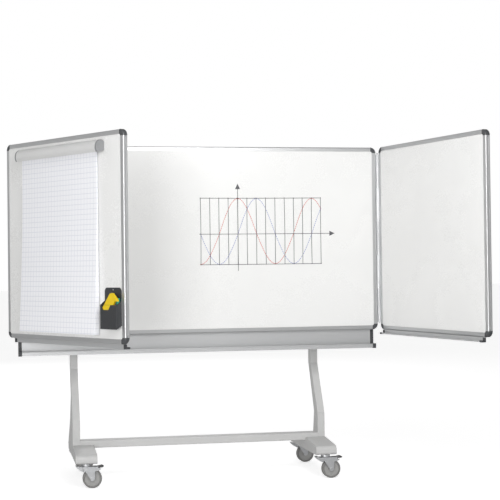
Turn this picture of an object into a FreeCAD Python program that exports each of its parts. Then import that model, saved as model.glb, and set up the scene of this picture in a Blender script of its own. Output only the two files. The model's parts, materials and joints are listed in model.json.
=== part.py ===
import FreeCAD, Part
import math
import os

from FreeCAD import Vector

# Rolling whiteboard with two hinged wings, millimetres, +Z up.
# The origin is on the floor, under the middle of the board's writing side.
# X runs along the board, +Y points behind it, and the wings open towards -Y.

# ---- driving sizes: boards -------------------------------------------------
BOARD_W = 2000.0        # centre board, outside the frame
BOARD_H = 1012.0        # all three boards, outside the frame
BOARD_Z = 780.0         # underside of the frames above the floor
FRAME_T = 28.0          # depth of the frame profile
FRAME_F = 23.0          # width of the frame profile on the face
FRAME_LIP = 1.4         # lip that holds the panel, each side
FRAME_SLOT = 10.5       # outer edge of the frame to the bottom of its slot
SHOULDER_R = 7.0        # rounded outer shoulders of the profile
GROOVE_D = 1.6          # groove along the outer side
GROOVE_W = 8.0
CHAMBER_IN = 3.2        # hollow chamber: starts here, from the outer side
CHAMBER_WALL = 1.4      # wall between the chamber and the slot
CHAMBER_MARGIN = 4.5    # chamber to the front and back of the profile
CORNER = 31.0           # leg of the plastic corner pieces
CORNER_PROUD = 0.5      # corner pieces stand out of the profile by this
TENON_L = 18.0          # corner plug inside the chamber
PLUG_FIT = 0.15         # plug to chamber, each side
SHEET_T = 0.5           # enamelled sheet on each side of the core
PANEL_FIT = 0.1         # panel to frame lip, each side
PANEL_EDGE = 0.5        # panel edge to the bottom of the slot

# ---- hinges and wings ------------------------------------------------------
HINGE_GAP = 14.0        # centre frame to wing frame with the wing flat open
HINGE_Y = 3.0           # pin ahead of the writing side
KNUCKLE_R = 5.0
PIN_R = 2.0
PIN_FIT = 0.05
KNUCKLES = 5
KNUCKLE_GAP = 0.5
LEAF_T = 1.6
LEAF_MARGIN = 40.0      # leaf ends to the frame's ends
LEAF_DEPTH = 23.0
PIN_END = 6.0           # pin stands out past the leaves
WING_MEET = 3.0         # gap between the closed wings
OPEN_LEFT = 58.0        # opening of each wing, from closed
OPEN_RIGHT = 103.7

# ---- trays -----------------------------------------------------------------
TRAY_WALL = 2.5
TRAY_FLANGE_T = 2.0     # flange under the bottom rail
TRAY_FLANGE_FRONT = 7.0
TRAY_FLANGE_BACK = 21.0
TRAY_H = 100.0          # centre tray
TRAY_BACK = 20.0        # face of its upright wall
TRAY_REACH = 28.0       # shelf in front of the writing side
TRAY_LIP = 20.0
TRAY_BEAD = 3.0
TRAY_INSET = 24.0
WTRAY_H = 23.0          # wing trays
WTRAY_REACH = 17.0
WTRAY_LIP = 5.0
WTRAY_BEAD = 2.0
WTRAY_INSET = 28.0
CAP_L = 17.0            # plastic end caps of the trays
CAP_PROUD = 1.6
CORNER_RELIEF = 0.8     # tray wall under the corner pieces

# ---- stand -----------------------------------------------------------------
FOOT_OUT = 695.0        # outer side of the feet
FOOT_W = 112.0
FOOT_Z = 126.0
FOOT_FRONT = -212.0
FOOT_BACK = 419.0
FOOT_END_H = 47.0       # height of the rounded ends
FOOT_MID_H = 67.0       # height under the column
FOOT_NOSE_R = 24.0
FOOT_HEEL_R = 16.0
FOOT_WALL = 3.0
COL_W = 40.0
COL_FRONT = 33.0        # front face of the lower column
COL_BASE_D = 108.0      # depth at the foot
COL_KNEE_D = 80.0       # depth at the lower knee
COL_TOP_D = 56.0        # depth of the upper column
COL_BACK = 173.0        # front face of the upper column
COL_KNEE_Z = 326.0
COL_BEND_Z = 591.0
COL_TOP_Z = 1640.0
COL_WALL = 3.0
FLARE_W = 17.0          # outer side flares by this at the base, towards the rear
FLARE_Z = 440.0         # height at which the flare has run out
BEAM_D = 80.0
BEAM_H = 39.0
BEAM_Z = 176.0
BEAM_WALL = 2.5
BRACKET_Z = (900.0, 1560.0)
BRACKET_W = 60.0
BRACKET_H = 90.0
BRACKET_NECK = 30.0
BRACKET_PLATE = 5.0
BOLT_R = 4.0
BOLT_FIT = 0.25
BOLT_L = 20.0
BOLT_HEAD_R = 6.6
BOLT_HEAD_H = 5.3
BOLT_PITCH = 66.0

# ---- casters ---------------------------------------------------------------
CASTER_Y = (-180.0, 387.0)
WHEEL_R = 50.0
TYRE_W = 32.0
TREAD_T = 6.0
RIM_W = 24.0
WEB_T = 12.0
HUB_R = 13.0
HUB_L = 36.0
AXLE_R = 6.0
AXLE_FIT = 0.05
TRAIL = 30.0            # swivel axis to wheel axle
FORK_T = 2.5
FORK_GAP = 1.5          # hub end to fork arm
FORK_TOP = 112.0
FORK_PLATE = 5.0
RACE_R = 22.0
GUARD_IN = 38.0         # front guard, from the swivel axis
GUARD_OUT = 56.0
RACE_GAP = 0.5
HEAD_R = 24.0
STEM_R = 6.0
STEM_UP = 24.0          # stem inside the foot, above its underside
KING_R = 5.0
NUT_R = 10.0
NUT_H = 9.0
PEDAL_X = 52.0          # pedal pivot from the swivel axis
PEDAL_Z = 103.5
PEDAL_PIN_R = 3.0
PEDAL_TIP = 90.0
PEDAL_T = 7.0

# ---- flip-chart clamp and pad on the left wing's outer side ----------------
CLAMP_S = 155.0         # starts this far from the hinge axis
CLAMP_L = 701.0
CLAMP_CAP_L = 12.0
CLAMP_TOP = 1752.0
CLAMP_D = 47.0
CLAMP_H = 60.0
CLAMP_SHELL = 2.0
CLAMP_AXLE_R = 2.0
CLAMP_BEAD_R = 5.0
CLAMP_BASE_T = 4.0
PEG_R = 4.0
PEG_PITCH = 560.0
PEG_HOLE_FIT = 1.0
PEG_DROP = 48.0         # peg below the top of the clamp
PAD_S = 168.5
PAD_W = 640.0
PAD_TOP_DROP = 38.0     # pad's top edge below the top of the clamp
PAD_H = 894.0
PAD_T = 7.0
PAD_GAP = 0.5

# ---- pen holder, eraser and markers ----------------------------------------
HOLD_S = 852.0
HOLD_W = 127.0
HOLD_Z = 850.0
HOLD_H = 196.0
HOLD_BOX_H = 113.0     # front wall
HOLD_SIDE_RISE = 22.0   # side walls are higher at the back plate
HOLD_BOTTOM_RISE = 18.0 # underside slopes up to the back plate
HOLD_D = 33.0
HOLD_PLATE = 3.0
HOLD_WALL = 2.5
HOLD_FLOOR = 3.0        # floor above the slope's upper end
HOLD_TOP_R = 18.0
HOLD_EYE_R = 4.0
NOTCH_S = 9.0           # dip in the front wall, from the holder's left side
NOTCH_W = 72.0
NOTCH_D = 22.0
NOTCH_SLOPE = 16.0
ITEM_FIT = 0.6          # loose items to the walls of the holder
ERASER_W = 128.0
ERASER_H = 150.0
ERASER_T = 9.0
# outline as shares of its width and height: a leaning bar with a hooked head
ERASER_SHAPE = (
    (0.08, 0.0), (0.37, 0.0), (0.60, 0.45), (0.81, 0.745), (0.98, 0.74),
    (1.0, 0.775), (0.70, 1.0), (0.60, 1.0), (0.52, 0.98), (0.06, 0.53),
)
FELT_T = 14.0
FELT_EDGE = 3.0         # felt above the grip's foot
FELT_IN = 12.0          # felt from the grip's left side
FELT_W = 34.0
FELT_H = 62.0
MARKER_R = 8.2
MARKER_L = 126.0
MARKER_GAP = 4.6
MARKER_CAP_L = 34.0
MARKER_CAP_WALL = 1.2
MARKER_CAP_FIT = 0.1
MARKER_NECK_L = 24.0
MARKER_TIP_R = 2.5
MARKER_TIP_L = 4.0

# ---- values that follow from the sizes above --------------------------------
AXIS_X = BOARD_W / 2 + HINGE_GAP / 2
WING_W = AXIS_X - WING_MEET / 2 - HINGE_GAP / 2
BOARD_TOP = BOARD_Z + BOARD_H
PANEL_FRONT = FRAME_LIP + PANEL_FIT
PANEL_BACK = FRAME_T - PANEL_FRONT
FOOT_IN = FOOT_OUT - FOOT_W
FOOT_TOP = FOOT_Z + FOOT_MID_H
COL_IN = FOOT_OUT - COL_W
CASTER_X = FOOT_OUT - FOOT_W / 2
AXLE_Z = WHEEL_R
ARM_IN = HUB_L / 2 + FORK_GAP
ARM_OUT = ARM_IN + FORK_T
HEAD_BOTTOM = FORK_TOP + RACE_GAP


def box(x0, x1, y0, y1, z0, z1):
    """Box between two corners."""
    return Part.makeBox(x1 - x0, y1 - y0, z1 - z0, Vector(x0, y0, z0))


def cyl(radius, length, base, axis):
    """Cylinder from a base point along an axis."""
    return Part.makeCylinder(radius, length, Vector(*base), Vector(*axis))


def prism(points, sweep):
    """Solid from a closed polygon of points, swept along a vector."""
    wire = Part.makePolygon([Vector(*p) for p in points] + [Vector(*points[0])])
    return Part.Face(wire).extrude(Vector(*sweep))


def yz_prism(points, x0, x1):
    """Solid from a polygon in Y and Z, between two X planes."""
    return prism([(x0, y, z) for y, z in points], (x1 - x0, 0, 0))


def xz_prism(points, y0, y1):
    """Solid from a polygon in X and Z, between two Y planes."""
    return prism([(x, y0, z) for x, z in points], (0, y1 - y0, 0))


def xy_prism(points, z0, z1):
    """Solid from a polygon in X and Y, between two Z planes."""
    return prism([(x, y, z0) for x, y in points], (0, 0, z1 - z0))


def outline(segments, place):
    """Face from line and arc segments given in two section coordinates."""
    edges = []
    for seg in segments:
        pts = [place(*p) for p in seg]
        if len(pts) == 2:
            edges.append(Part.LineSegment(*pts).toShape())
        else:
            edges.append(Part.Arc(*pts).toShape())
    return Part.Face(Part.Wire(edges))


def group(solids):
    """Separate solids that share a node."""
    return Part.makeCompound(solids)


def mirrored(shape):
    """Mirror image across the stand's middle plane."""
    return shape.mirror(Vector(0, 0, 0), Vector(1, 0, 0))


def turned(shape, base, angle):
    """Copy turned about a vertical axis through base."""
    out = shape.copy()
    out.rotate(Vector(*base), Vector(0, 0, 1), angle)
    return out


def moved(shape, x, y, z):
    """Copy moved by a vector."""
    out = shape.copy()
    out.translate(Vector(x, y, z))
    return out


# ---- frame profile, u from the outer side inwards and v from front to back ---
def profile_segments(proud=0.0):
    """Outer outline of the frame profile, optionally standing out all round."""
    r = SHOULDER_R
    k = r * (1 - math.sqrt(0.5))
    lo = -proud
    hi = FRAME_T + proud
    mid = FRAME_T / 2
    g0 = mid - GROOVE_W / 2
    g1 = mid + GROOVE_W / 2
    depth = GROOVE_D - proud
    return [
        ((FRAME_F, lo), (r + lo, lo)),
        ((r + lo, lo), (k + lo, k + lo), (lo, r + lo)),
        ((lo, r + lo), (lo, g0)),
        ((lo, g0), (depth, g0)),
        ((depth, g0), (depth, g1)),
        ((depth, g1), (lo, g1)),
        ((lo, g1), (lo, hi - r)),
        ((lo, hi - r), (k + lo, hi - k), (r + lo, hi)),
        ((r + lo, hi), (FRAME_F, hi)),
        ((FRAME_F, hi), (FRAME_F, FRAME_T - FRAME_LIP)),
        ((FRAME_F, FRAME_T - FRAME_LIP), (FRAME_SLOT, FRAME_T - FRAME_LIP)),
        ((FRAME_SLOT, FRAME_T - FRAME_LIP), (FRAME_SLOT, FRAME_LIP)),
        ((FRAME_SLOT, FRAME_LIP), (FRAME_F, FRAME_LIP)),
        ((FRAME_F, FRAME_LIP), (FRAME_F, lo)),
    ]


def chamber_points(fit=0.0):
    """Corners of the hollow chamber, made smaller by a fit."""
    u0 = CHAMBER_IN + fit
    u1 = FRAME_SLOT - CHAMBER_WALL - fit
    v0 = CHAMBER_MARGIN + fit
    v1 = FRAME_T - CHAMBER_MARGIN - fit
    return [(u0, v0), (u1, v0), (u1, v1), (u0, v1)]


def frame_bar(place, sweep):
    """One length of the frame profile, with its chamber open at both ends."""
    bar = outline(profile_segments(), place).extrude(Vector(*sweep))
    pts = [place(*p) for p in chamber_points()]
    hollow = Part.Face(Part.makePolygon(pts + [pts[0]]))
    return bar.cut(hollow.extrude(Vector(*sweep)))


def frame_bars(width, height):
    """The two rails and two stiles of a board, between its corner pieces."""
    run = width - 2 * CORNER
    rise = height - 2 * CORNER
    return [
        frame_bar(lambda u, v: Vector(CORNER, v, u), (run, 0, 0)),
        frame_bar(lambda u, v: Vector(CORNER, v, height - u), (run, 0, 0)),
        frame_bar(lambda u, v: Vector(u, v, CORNER), (0, 0, rise)),
        frame_bar(lambda u, v: Vector(width - u, v, CORNER), (0, 0, rise)),
    ]


def corner_piece():
    """Corner at the board's lower left: the profile turned a quarter, with plugs."""
    def place(u, v):
        return Vector(CORNER, v, u)

    axis_at = Vector(CORNER, 0, CORNER)
    body = outline(profile_segments(CORNER_PROUD), place)
    body = body.revolve(axis_at, Vector(0, 1, 0), 90)
    if body.BoundBox.XMax > CORNER + 1:
        body = outline(profile_segments(CORNER_PROUD), place)
        body = body.revolve(axis_at, Vector(0, 1, 0), -90)
    plug = [Vector(CORNER, v, u) for u, v in chamber_points(PLUG_FIT)]
    rail_plug = Part.Face(Part.makePolygon(plug + [plug[0]]))
    plug = [Vector(u, v, CORNER) for u, v in chamber_points(PLUG_FIT)]
    stile_plug = Part.Face(Part.makePolygon(plug + [plug[0]]))
    body = body.fuse(rail_plug.extrude(Vector(TENON_L, 0, 0)))
    body = body.fuse(stile_plug.extrude(Vector(0, 0, TENON_L)))
    return body.removeSplitter()


def corner_pieces(width, height):
    """The four corners of a board."""
    low_left = corner_piece()
    half = Vector(width / 2, 0, 0)
    low_right = low_left.mirror(half, Vector(1, 0, 0))
    mid = Vector(0, 0, height / 2)
    low = [low_left, low_right]
    return low + [c.mirror(mid, Vector(0, 0, 1)) for c in low]


def panel_layer(width, height, y0, y1):
    """A layer of the panel, with its corners rounded inside the corner pieces."""
    edge = FRAME_SLOT + PANEL_EDGE
    layer = box(edge, width - edge, y0, y1, edge, height - edge)
    upright = [
        e for e in layer.Edges
        if abs(e.Vertexes[0].Z - e.Vertexes[1].Z) < 0.01
        and abs(e.Vertexes[0].X - e.Vertexes[1].X) < 0.01
    ]
    return layer.makeFillet(CORNER - edge, upright)


def board(width, height):
    """Frame, corners, sheets and core of one board, from its lower left corner."""
    front = panel_layer(width, height, PANEL_FRONT, PANEL_FRONT + SHEET_T)
    back = panel_layer(width, height, PANEL_BACK - SHEET_T, PANEL_BACK)
    core = panel_layer(width, height, PANEL_FRONT + SHEET_T, PANEL_BACK - SHEET_T)
    return {
        "core": core,
        "sheets": group([front, back]),
        "frame": group(frame_bars(width, height)),
        "corners": group(corner_pieces(width, height)),
    }


# ---- trays -------------------------------------------------------------------
def tray_polygon(back, drop, reach, lip, grow):
    """J section in Y and Z: upright wall, shelf and lip, optionally thicker."""
    t = TRAY_WALL
    g = grow
    return [
        (back - g, -g), (back + t + g, -g),
        (back + t + g, -drop - g), (-reach - t - g, -drop - g),
        (-reach - t - g, -drop + lip), (-reach + g, -drop + lip),
        (-reach + g, -drop + t + g), (back - g, -drop + t + g),
    ]


def tray_section(x0, x1, size, grow=0.0):
    """J section and lip bead between two X planes, from the frame's underside."""
    back, drop, reach, lip, bead = size
    body = yz_prism(tray_polygon(back, drop, reach, lip, grow), x0, x1)
    lip_y = -reach - TRAY_WALL / 2
    return body.fuse(cyl(bead + grow, x1 - x0, (x0, lip_y, lip - drop), (1, 0, 0)))


def tray(x0, x1, size):
    """Tray with a flange under the bottom rail, as touching wall, shelf and lip."""
    back, drop, reach, lip, bead = size
    wall = TRAY_WALL
    y0 = min(back, TRAY_FLANGE_FRONT)
    y1 = max(back + wall, TRAY_FLANGE_BACK)
    upright = box(x0, x1, back, back + wall, -drop + wall, -CORNER_RELIEF)
    top = box(x0 + CAP_L, x1 - CAP_L, y0, y1, -TRAY_FLANGE_T, 0)
    shelf = box(x0, x1, -reach - wall, back + wall, -drop, -drop + wall)
    edge = box(x0, x1, -reach - wall, -reach, -drop + wall, -drop + lip)
    bar = cyl(bead, x1 - x0, (x0, -reach - wall / 2, lip - drop), (1, 0, 0))
    return group([upright.cut(top), top, shelf, edge.fuse(bar).removeSplitter()])


def tray_caps(x0, x1, size):
    """Plastic caps sleeved over both ends of a tray."""
    body = tray_section(x0, x1, size)
    left = tray_section(x0 - CAP_PROUD, x0 + CAP_L, size, CAP_PROUD)
    right = tray_section(x1 - CAP_L, x1 + CAP_PROUD, size, CAP_PROUD)
    return group([left.cut(body), right.cut(body)])


CENTRE_TRAY = (TRAY_BACK, TRAY_H, TRAY_REACH, TRAY_LIP, TRAY_BEAD)
WING_TRAY = (0.0, WTRAY_H, WTRAY_REACH, WTRAY_LIP, WTRAY_BEAD)


# ---- hinges ------------------------------------------------------------------
def leaf(side, own):
    """Hinge leaf on the +X side: side is -1 for the centre's leaf, +1 for the wing's."""
    root = side * HINGE_GAP / 2
    inner = root - side * LEAF_T
    z0 = BOARD_Z + LEAF_MARGIN
    z1 = BOARD_TOP - LEAF_MARGIN
    y0 = 1.5
    strip = xy_prism(
        [(root, y0), (inner, y0), (inner, LEAF_DEPTH), (root, LEAF_DEPTH)], z0, z1
    )
    step = (z1 - z0) / KNUCKLES
    web = [
        (root, y0), (root, y0 + 4.0), (inner, y0 + 4.0),
        (0, -HINGE_Y + KNUCKLE_R), (side * KNUCKLE_R, -HINGE_Y),
    ]
    for i in own:
        k0 = z0 + i * step + KNUCKLE_GAP / 2
        k1 = z0 + (i + 1) * step - KNUCKLE_GAP / 2
        strip = strip.fuse(xy_prism(web, k0, k1))
        strip = strip.fuse(cyl(KNUCKLE_R, k1 - k0, (0, -HINGE_Y, k0), (0, 0, 1)))
    bore = cyl(PIN_R + PIN_FIT, z1 - z0, (0, -HINGE_Y, z0), (0, 0, 1))
    return moved(strip.cut(bore).removeSplitter(), AXIS_X, 0, 0)


def hinge_pin():
    """Pin through all the knuckles, with a small head on its top."""
    z0 = BOARD_Z + LEAF_MARGIN - PIN_END
    length = BOARD_H - 2 * LEAF_MARGIN + 2 * PIN_END
    pin = cyl(PIN_R, length, (AXIS_X, -HINGE_Y, z0), (0, 0, 1))
    head = cyl(PIN_R * 1.6, PIN_END / 2, (AXIS_X, -HINGE_Y, z0 + length), (0, 0, 1))
    return pin.fuse(head)


# ---- stand -------------------------------------------------------------------
def foot_polygon(inset):
    """Foot's side view: highest under the column, lower at both ends."""
    low = FOOT_Z + inset
    end = FOOT_Z + FOOT_END_H - inset
    top = FOOT_TOP - inset
    return [
        (FOOT_FRONT + inset, low), (FOOT_FRONT + inset, end), (COL_FRONT, top),
        (COL_FRONT + COL_BASE_D, top), (FOOT_BACK - inset, end), (FOOT_BACK - inset, low),
    ]


def edges_at(shape, y, z):
    """Edges along X that pass through a point of the side view."""
    found = []
    for e in shape.Edges:
        a, b = e.Vertexes[0].Point, e.Vertexes[-1].Point
        if abs(a.y - y) + abs(a.z - z) + abs(b.y - y) + abs(b.z - z) < 0.01:
            found.append(e)
    return found


def foot_block(inset):
    """Solid of the foot's side view with rounded ends."""
    pts = foot_polygon(inset)
    block = yz_prism(pts, FOOT_IN + inset, FOOT_OUT - inset)
    nose = edges_at(block, *pts[1]) + edges_at(block, *pts[4])
    block = block.makeFillet(FOOT_NOSE_R - inset, nose)
    heel = edges_at(block, *pts[0]) + edges_at(block, *pts[5])
    return block.makeFillet(FOOT_HEEL_R - inset, heel)


def foot():
    """Hollow foot on the +X side, notched for the beam and drilled for the stems."""
    body = foot_block(0.0).cut(foot_block(FOOT_WALL))
    notch = box(
        FOOT_IN - 1, COL_IN, COL_FRONT, COL_FRONT + BEAM_D, BEAM_Z, FOOT_TOP + 1
    )
    body = body.cut(notch)
    for y in CASTER_Y:
        hole = cyl(STEM_R + BOLT_FIT, FOOT_WALL + 2, (CASTER_X, y, FOOT_Z - 1), (0, 0, 1))
        body = body.cut(hole)
    return body


def column_flare():
    """Wedge that widens the lower column's outer side towards its rear edge."""
    rise = COL_BEND_Z - COL_KNEE_Z
    share = (FLARE_Z - COL_KNEE_Z) / rise
    front = COL_FRONT + share * (COL_BACK - COL_FRONT)
    knee_rear = COL_FRONT + COL_KNEE_D
    rear = knee_rear + share * (COL_BACK + COL_TOP_D - knee_rear)
    knee_w = FLARE_W * (FLARE_Z - COL_KNEE_Z) / (FLARE_Z - FOOT_TOP)
    levels = [
        (FOOT_TOP, COL_FRONT, COL_FRONT + COL_BASE_D, FLARE_W),
        (COL_KNEE_Z, COL_FRONT, knee_rear, knee_w), (FLARE_Z, front, rear, 0.3),
    ]
    root = FOOT_OUT - 1.0
    rings = []
    for z, y0, y1, width in levels:
        pts = [
            Vector(root, y0 + COL_WALL, z), Vector(root, y1 - 1.0, z),
            Vector(FOOT_OUT + width, y1, z), Vector(root, y0 + COL_WALL, z),
        ]
        rings.append(Part.makePolygon(pts))
    return Part.makeLoft(rings, True, True)


def column():
    """Bent hollow column on the +X side, open at its top."""
    pts = [
        (COL_FRONT, FOOT_TOP), (COL_FRONT, COL_KNEE_Z), (COL_BACK, COL_BEND_Z),
        (COL_BACK, COL_TOP_Z), (COL_BACK + COL_TOP_D, COL_TOP_Z),
        (COL_BACK + COL_TOP_D, COL_BEND_Z), (COL_FRONT + COL_KNEE_D, COL_KNEE_Z),
        (COL_FRONT + COL_BASE_D, FOOT_TOP),
    ]
    body = yz_prism(pts, COL_IN, FOOT_OUT)
    rims = [
        e for e in body.Edges
        if abs(e.Vertexes[0].X - e.Vertexes[1].X) < 0.01
        and abs(e.Vertexes[0].Z - e.Vertexes[1].Z) > 1
    ]
    body = body.makeFillet(COL_WALL, rims)
    x0 = COL_IN + COL_WALL
    wire = Part.makePolygon([Vector(x0, y, z) for y, z in pts + pts[:1]])
    inner = Part.Face(wire).makeOffset2D(-COL_WALL, 2)
    body = body.cut(inner.extrude(Vector(COL_W - 2 * COL_WALL, 0, 0)))
    body = body.fuse(column_flare()).removeSplitter()
    mouth = box(
        x0, FOOT_OUT - COL_WALL, COL_BACK + COL_WALL, COL_BACK + COL_TOP_D - COL_WALL,
        COL_TOP_Z - COL_WALL - 1, COL_TOP_Z + 1,
    )
    body = body.cut(mouth)
    for z in bolt_heights():
        hole = cyl(BOLT_R + BOLT_FIT, COL_WALL + 2, (bracket_x(), COL_BACK - 1, z), (0, 1, 0))
        body = body.cut(hole)
    return body


def column_cap():
    """Plastic cap in the open top of the column."""
    plate = box(
        COL_IN, FOOT_OUT, COL_BACK, COL_BACK + COL_TOP_D, COL_TOP_Z, COL_TOP_Z + 4
    )
    plate = plate.makeFillet(3, [e for e in plate.Edges if e.CenterOfMass.z > COL_TOP_Z])
    wall = COL_WALL + PLUG_FIT
    plug = box(
        COL_IN + wall, FOOT_OUT - wall, COL_BACK + wall,
        COL_BACK + COL_TOP_D - wall, COL_TOP_Z - 20, COL_TOP_Z,
    )
    return plate.fuse(plug)


def beam():
    """Cross tube between the columns, its front flush with theirs."""
    def tube(inset):
        block = box(
            -COL_IN, COL_IN, COL_FRONT + inset, COL_FRONT + BEAM_D - inset,
            BEAM_Z + inset, BEAM_Z + BEAM_H - inset,
        )
        along = [e for e in block.Edges if abs(e.Vertexes[0].X - e.Vertexes[1].X) > 1]
        return block.makeFillet(4.0 - inset, along)

    return tube(0.0).cut(tube(BEAM_WALL))


def bracket_x():
    """Middle plane of the column on the +X side."""
    return FOOT_OUT - COL_W / 2


def bolt_heights():
    """Heights of the bolts on each bracket plate."""
    return [z + s * BOLT_PITCH / 2 for z in BRACKET_Z for s in (-1, 1)]


def bracket(z):
    """Spacer between the board's back and the column, with a plate at each end."""
    x = bracket_x()
    y0 = PANEL_BACK
    y1 = COL_BACK
    half_h = BRACKET_H / 2
    board_plate = box(
        x - BRACKET_W / 2, x + BRACKET_W / 2, y0, y0 + BRACKET_PLATE, z - half_h, z + half_h
    )
    col_plate = box(COL_IN, FOOT_OUT, y1 - BRACKET_PLATE, y1, z - half_h, z + half_h)
    neck_h = BOLT_PITCH / 2 - BOLT_HEAD_R - 3
    neck = box(x - BRACKET_NECK / 2, x + BRACKET_NECK / 2, y0, y1, z - neck_h, z + neck_h)
    core = box(
        x - BRACKET_NECK / 2 + 3, x + BRACKET_NECK / 2 - 3, y0 + BRACKET_PLATE,
        y1 - BRACKET_PLATE, z - neck_h - 1, z + neck_h - 3,
    )
    body = board_plate.fuse([col_plate, neck.cut(core)]).removeSplitter()
    for s in (-1, 1):
        at = z + s * BOLT_PITCH / 2
        body = body.cut(cyl(BOLT_R + BOLT_FIT, y1 - y0 + 2, (x, y0 - 1, at), (0, 1, 0)))
    return body


def bolt(y, z, direction):
    """Hexagon bolt with its head at y, its shank pointing along +Y or -Y."""
    x = bracket_x()
    turn = [math.radians(60 * i) for i in range(6)]
    y_head = y - direction * BOLT_HEAD_H
    hexagon = [
        (x + BOLT_HEAD_R * math.cos(a), y_head, z + BOLT_HEAD_R * math.sin(a))
        for a in turn
    ]
    head = prism(hexagon, (0, direction * BOLT_HEAD_H, 0))
    return head.fuse(cyl(BOLT_R, BOLT_L, (x, y, z), (0, direction, 0)))


def bolts():
    """Bolts of the brackets on the +X side."""
    found = []
    for z in bolt_heights():
        found.append(bolt(PANEL_BACK + BRACKET_PLATE, z, -1))
        found.append(bolt(COL_BACK - BRACKET_PLATE, z, 1))
    return found


def stem_nut(y):
    """Nut on a caster stem, inside the foot."""
    turn = [math.radians(60 * i) for i in range(6)]
    pts = [(CASTER_X + NUT_R * math.cos(a), y + NUT_R * math.sin(a)) for a in turn]
    z0 = FOOT_Z + FOOT_WALL
    nut = xy_prism(pts, z0, z0 + NUT_H)
    return nut.cut(cyl(STEM_R, NUT_H, (CASTER_X, y, z0), (0, 0, 1)))


# ---- casters, built round the swivel axis ------------------------------------
def caster_head():
    """Fixed race with its stem, king pin and the rivet that carries the fork."""
    head = cyl(HEAD_R, FOOT_Z - HEAD_BOTTOM, (0, 0, HEAD_BOTTOM), (0, 0, 1))
    head = head.makeChamfer(2.0, [e for e in head.Edges if e.CenterOfMass.z < FOOT_Z - 1])
    stem = cyl(STEM_R, STEM_UP, (0, 0, FOOT_Z), (0, 0, 1))
    plate_z = FORK_TOP - FORK_PLATE
    king = cyl(KING_R, HEAD_BOTTOM - plate_z + RACE_GAP, (0, 0, plate_z - RACE_GAP), (0, 0, 1))
    rivet = cyl(KING_R + 3, 3, (0, 0, plate_z - RACE_GAP - 3), (0, 0, 1))
    return head.fuse([stem, king, rivet]).removeSplitter()


def fork():
    """Pressed fork: top plate, two arms, pedal ears, a front guard and the axle."""
    plate_z = FORK_TOP - FORK_PLATE
    plate = xy_prism(
        [(-RACE_R, -ARM_OUT), (TRAIL + 6, -ARM_OUT), (TRAIL + 6, ARM_OUT), (-RACE_R, ARM_OUT)],
        plate_z, FORK_TOP,
    )
    arm = [
        (-GUARD_IN, FORK_TOP), (PEDAL_X + 9, FORK_TOP), (PEDAL_X + 9, PEDAL_Z),
        (PEDAL_X + 23, PEDAL_Z - 2.5), (PEDAL_X + 20, PEDAL_Z - 8.5),
        (PEDAL_X + 6, PEDAL_Z - 13), (TRAIL + 14, PEDAL_Z - 15), (TRAIL + 12, AXLE_Z),
        (TRAIL - 12, AXLE_Z), (-RACE_R + 12, PEDAL_Z - 11), (-RACE_R - 8, PEDAL_Z - 3),
    ]
    parts = []
    for y in (-ARM_OUT, ARM_IN):
        parts.append(xz_prism(arm, y, y + FORK_T))
        parts.append(cyl(12, FORK_T, (TRAIL, y, AXLE_Z), (0, 1, 0)))
    guard = xz_prism(
        [(-GUARD_IN + 4, FORK_TOP), (-GUARD_IN - 4, FORK_TOP + 4), (-GUARD_OUT, FORK_TOP + 4),
         (-GUARD_OUT + 6, FORK_TOP - 6), (-RACE_R - 12, FORK_TOP - 19),
         (-RACE_R + 6, FORK_TOP - 28), (-RACE_R + 9, FORK_TOP - 23), (-RACE_R - 3, FORK_TOP - 11)],
        -ARM_OUT, ARM_OUT,
    )
    axle = cyl(AXLE_R, 2 * ARM_OUT, (TRAIL, -ARM_OUT, AXLE_Z), (0, 1, 0))
    ends = [
        cyl(AXLE_R + 3, 4, (TRAIL, ARM_OUT, AXLE_Z), (0, 1, 0)),
        cyl(AXLE_R + 3, 4, (TRAIL, -ARM_OUT - 4, AXLE_Z), (0, 1, 0)),
    ]
    pin = cyl(PEDAL_PIN_R, 2 * ARM_OUT, (PEDAL_X, -ARM_OUT, PEDAL_Z), (0, 1, 0))
    body = plate.fuse(parts + [guard, axle, pin] + ends).removeSplitter()
    return body.cut(cyl(KING_R + AXLE_FIT, FORK_PLATE + 2, (0, 0, plate_z - 1), (0, 0, 1)))


def wheel():
    """Plastic wheel: hub, thin web and rim, bored for the axle."""
    rim_r = WHEEL_R - TREAD_T
    half = [HUB_L / 2, WEB_T / 2, RIM_W / 2]
    pts = [
        (AXLE_R + AXLE_FIT, -half[0]), (HUB_R, -half[0]), (HUB_R, -half[1]),
        (rim_r - 5, -half[1]), (rim_r - 4, -half[2]), (rim_r, -half[2]),
        (rim_r, half[2]), (rim_r - 4, half[2]), (rim_r - 5, half[1]),
        (HUB_R, half[1]), (HUB_R, half[0]), (AXLE_R + AXLE_FIT, half[0]),
    ]
    face = Part.Face(Part.makePolygon([Vector(r, y, 0) for r, y in pts + pts[:1]]))
    body = face.revolve(Vector(0, 0, 0), Vector(0, 1, 0), 360)
    return moved(body, TRAIL, 0, AXLE_Z)


def tyre():
    """Tread ring round the wheel's rim, with rounded shoulders."""
    ring = cyl(WHEEL_R, TYRE_W, (TRAIL, -TYRE_W / 2, AXLE_Z), (0, 1, 0))
    ring = ring.makeFillet(5.0, [e for e in ring.Edges if e.Closed])
    rim_r = WHEEL_R - TREAD_T
    core = cyl(rim_r, RIM_W, (TRAIL, -RIM_W / 2, AXLE_Z), (0, 1, 0))
    mouth = cyl(rim_r - 3, TYRE_W + 2, (TRAIL, -TYRE_W / 2 - 1, AXLE_Z), (0, 1, 0))
    return ring.cut(core).cut(mouth)


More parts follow.
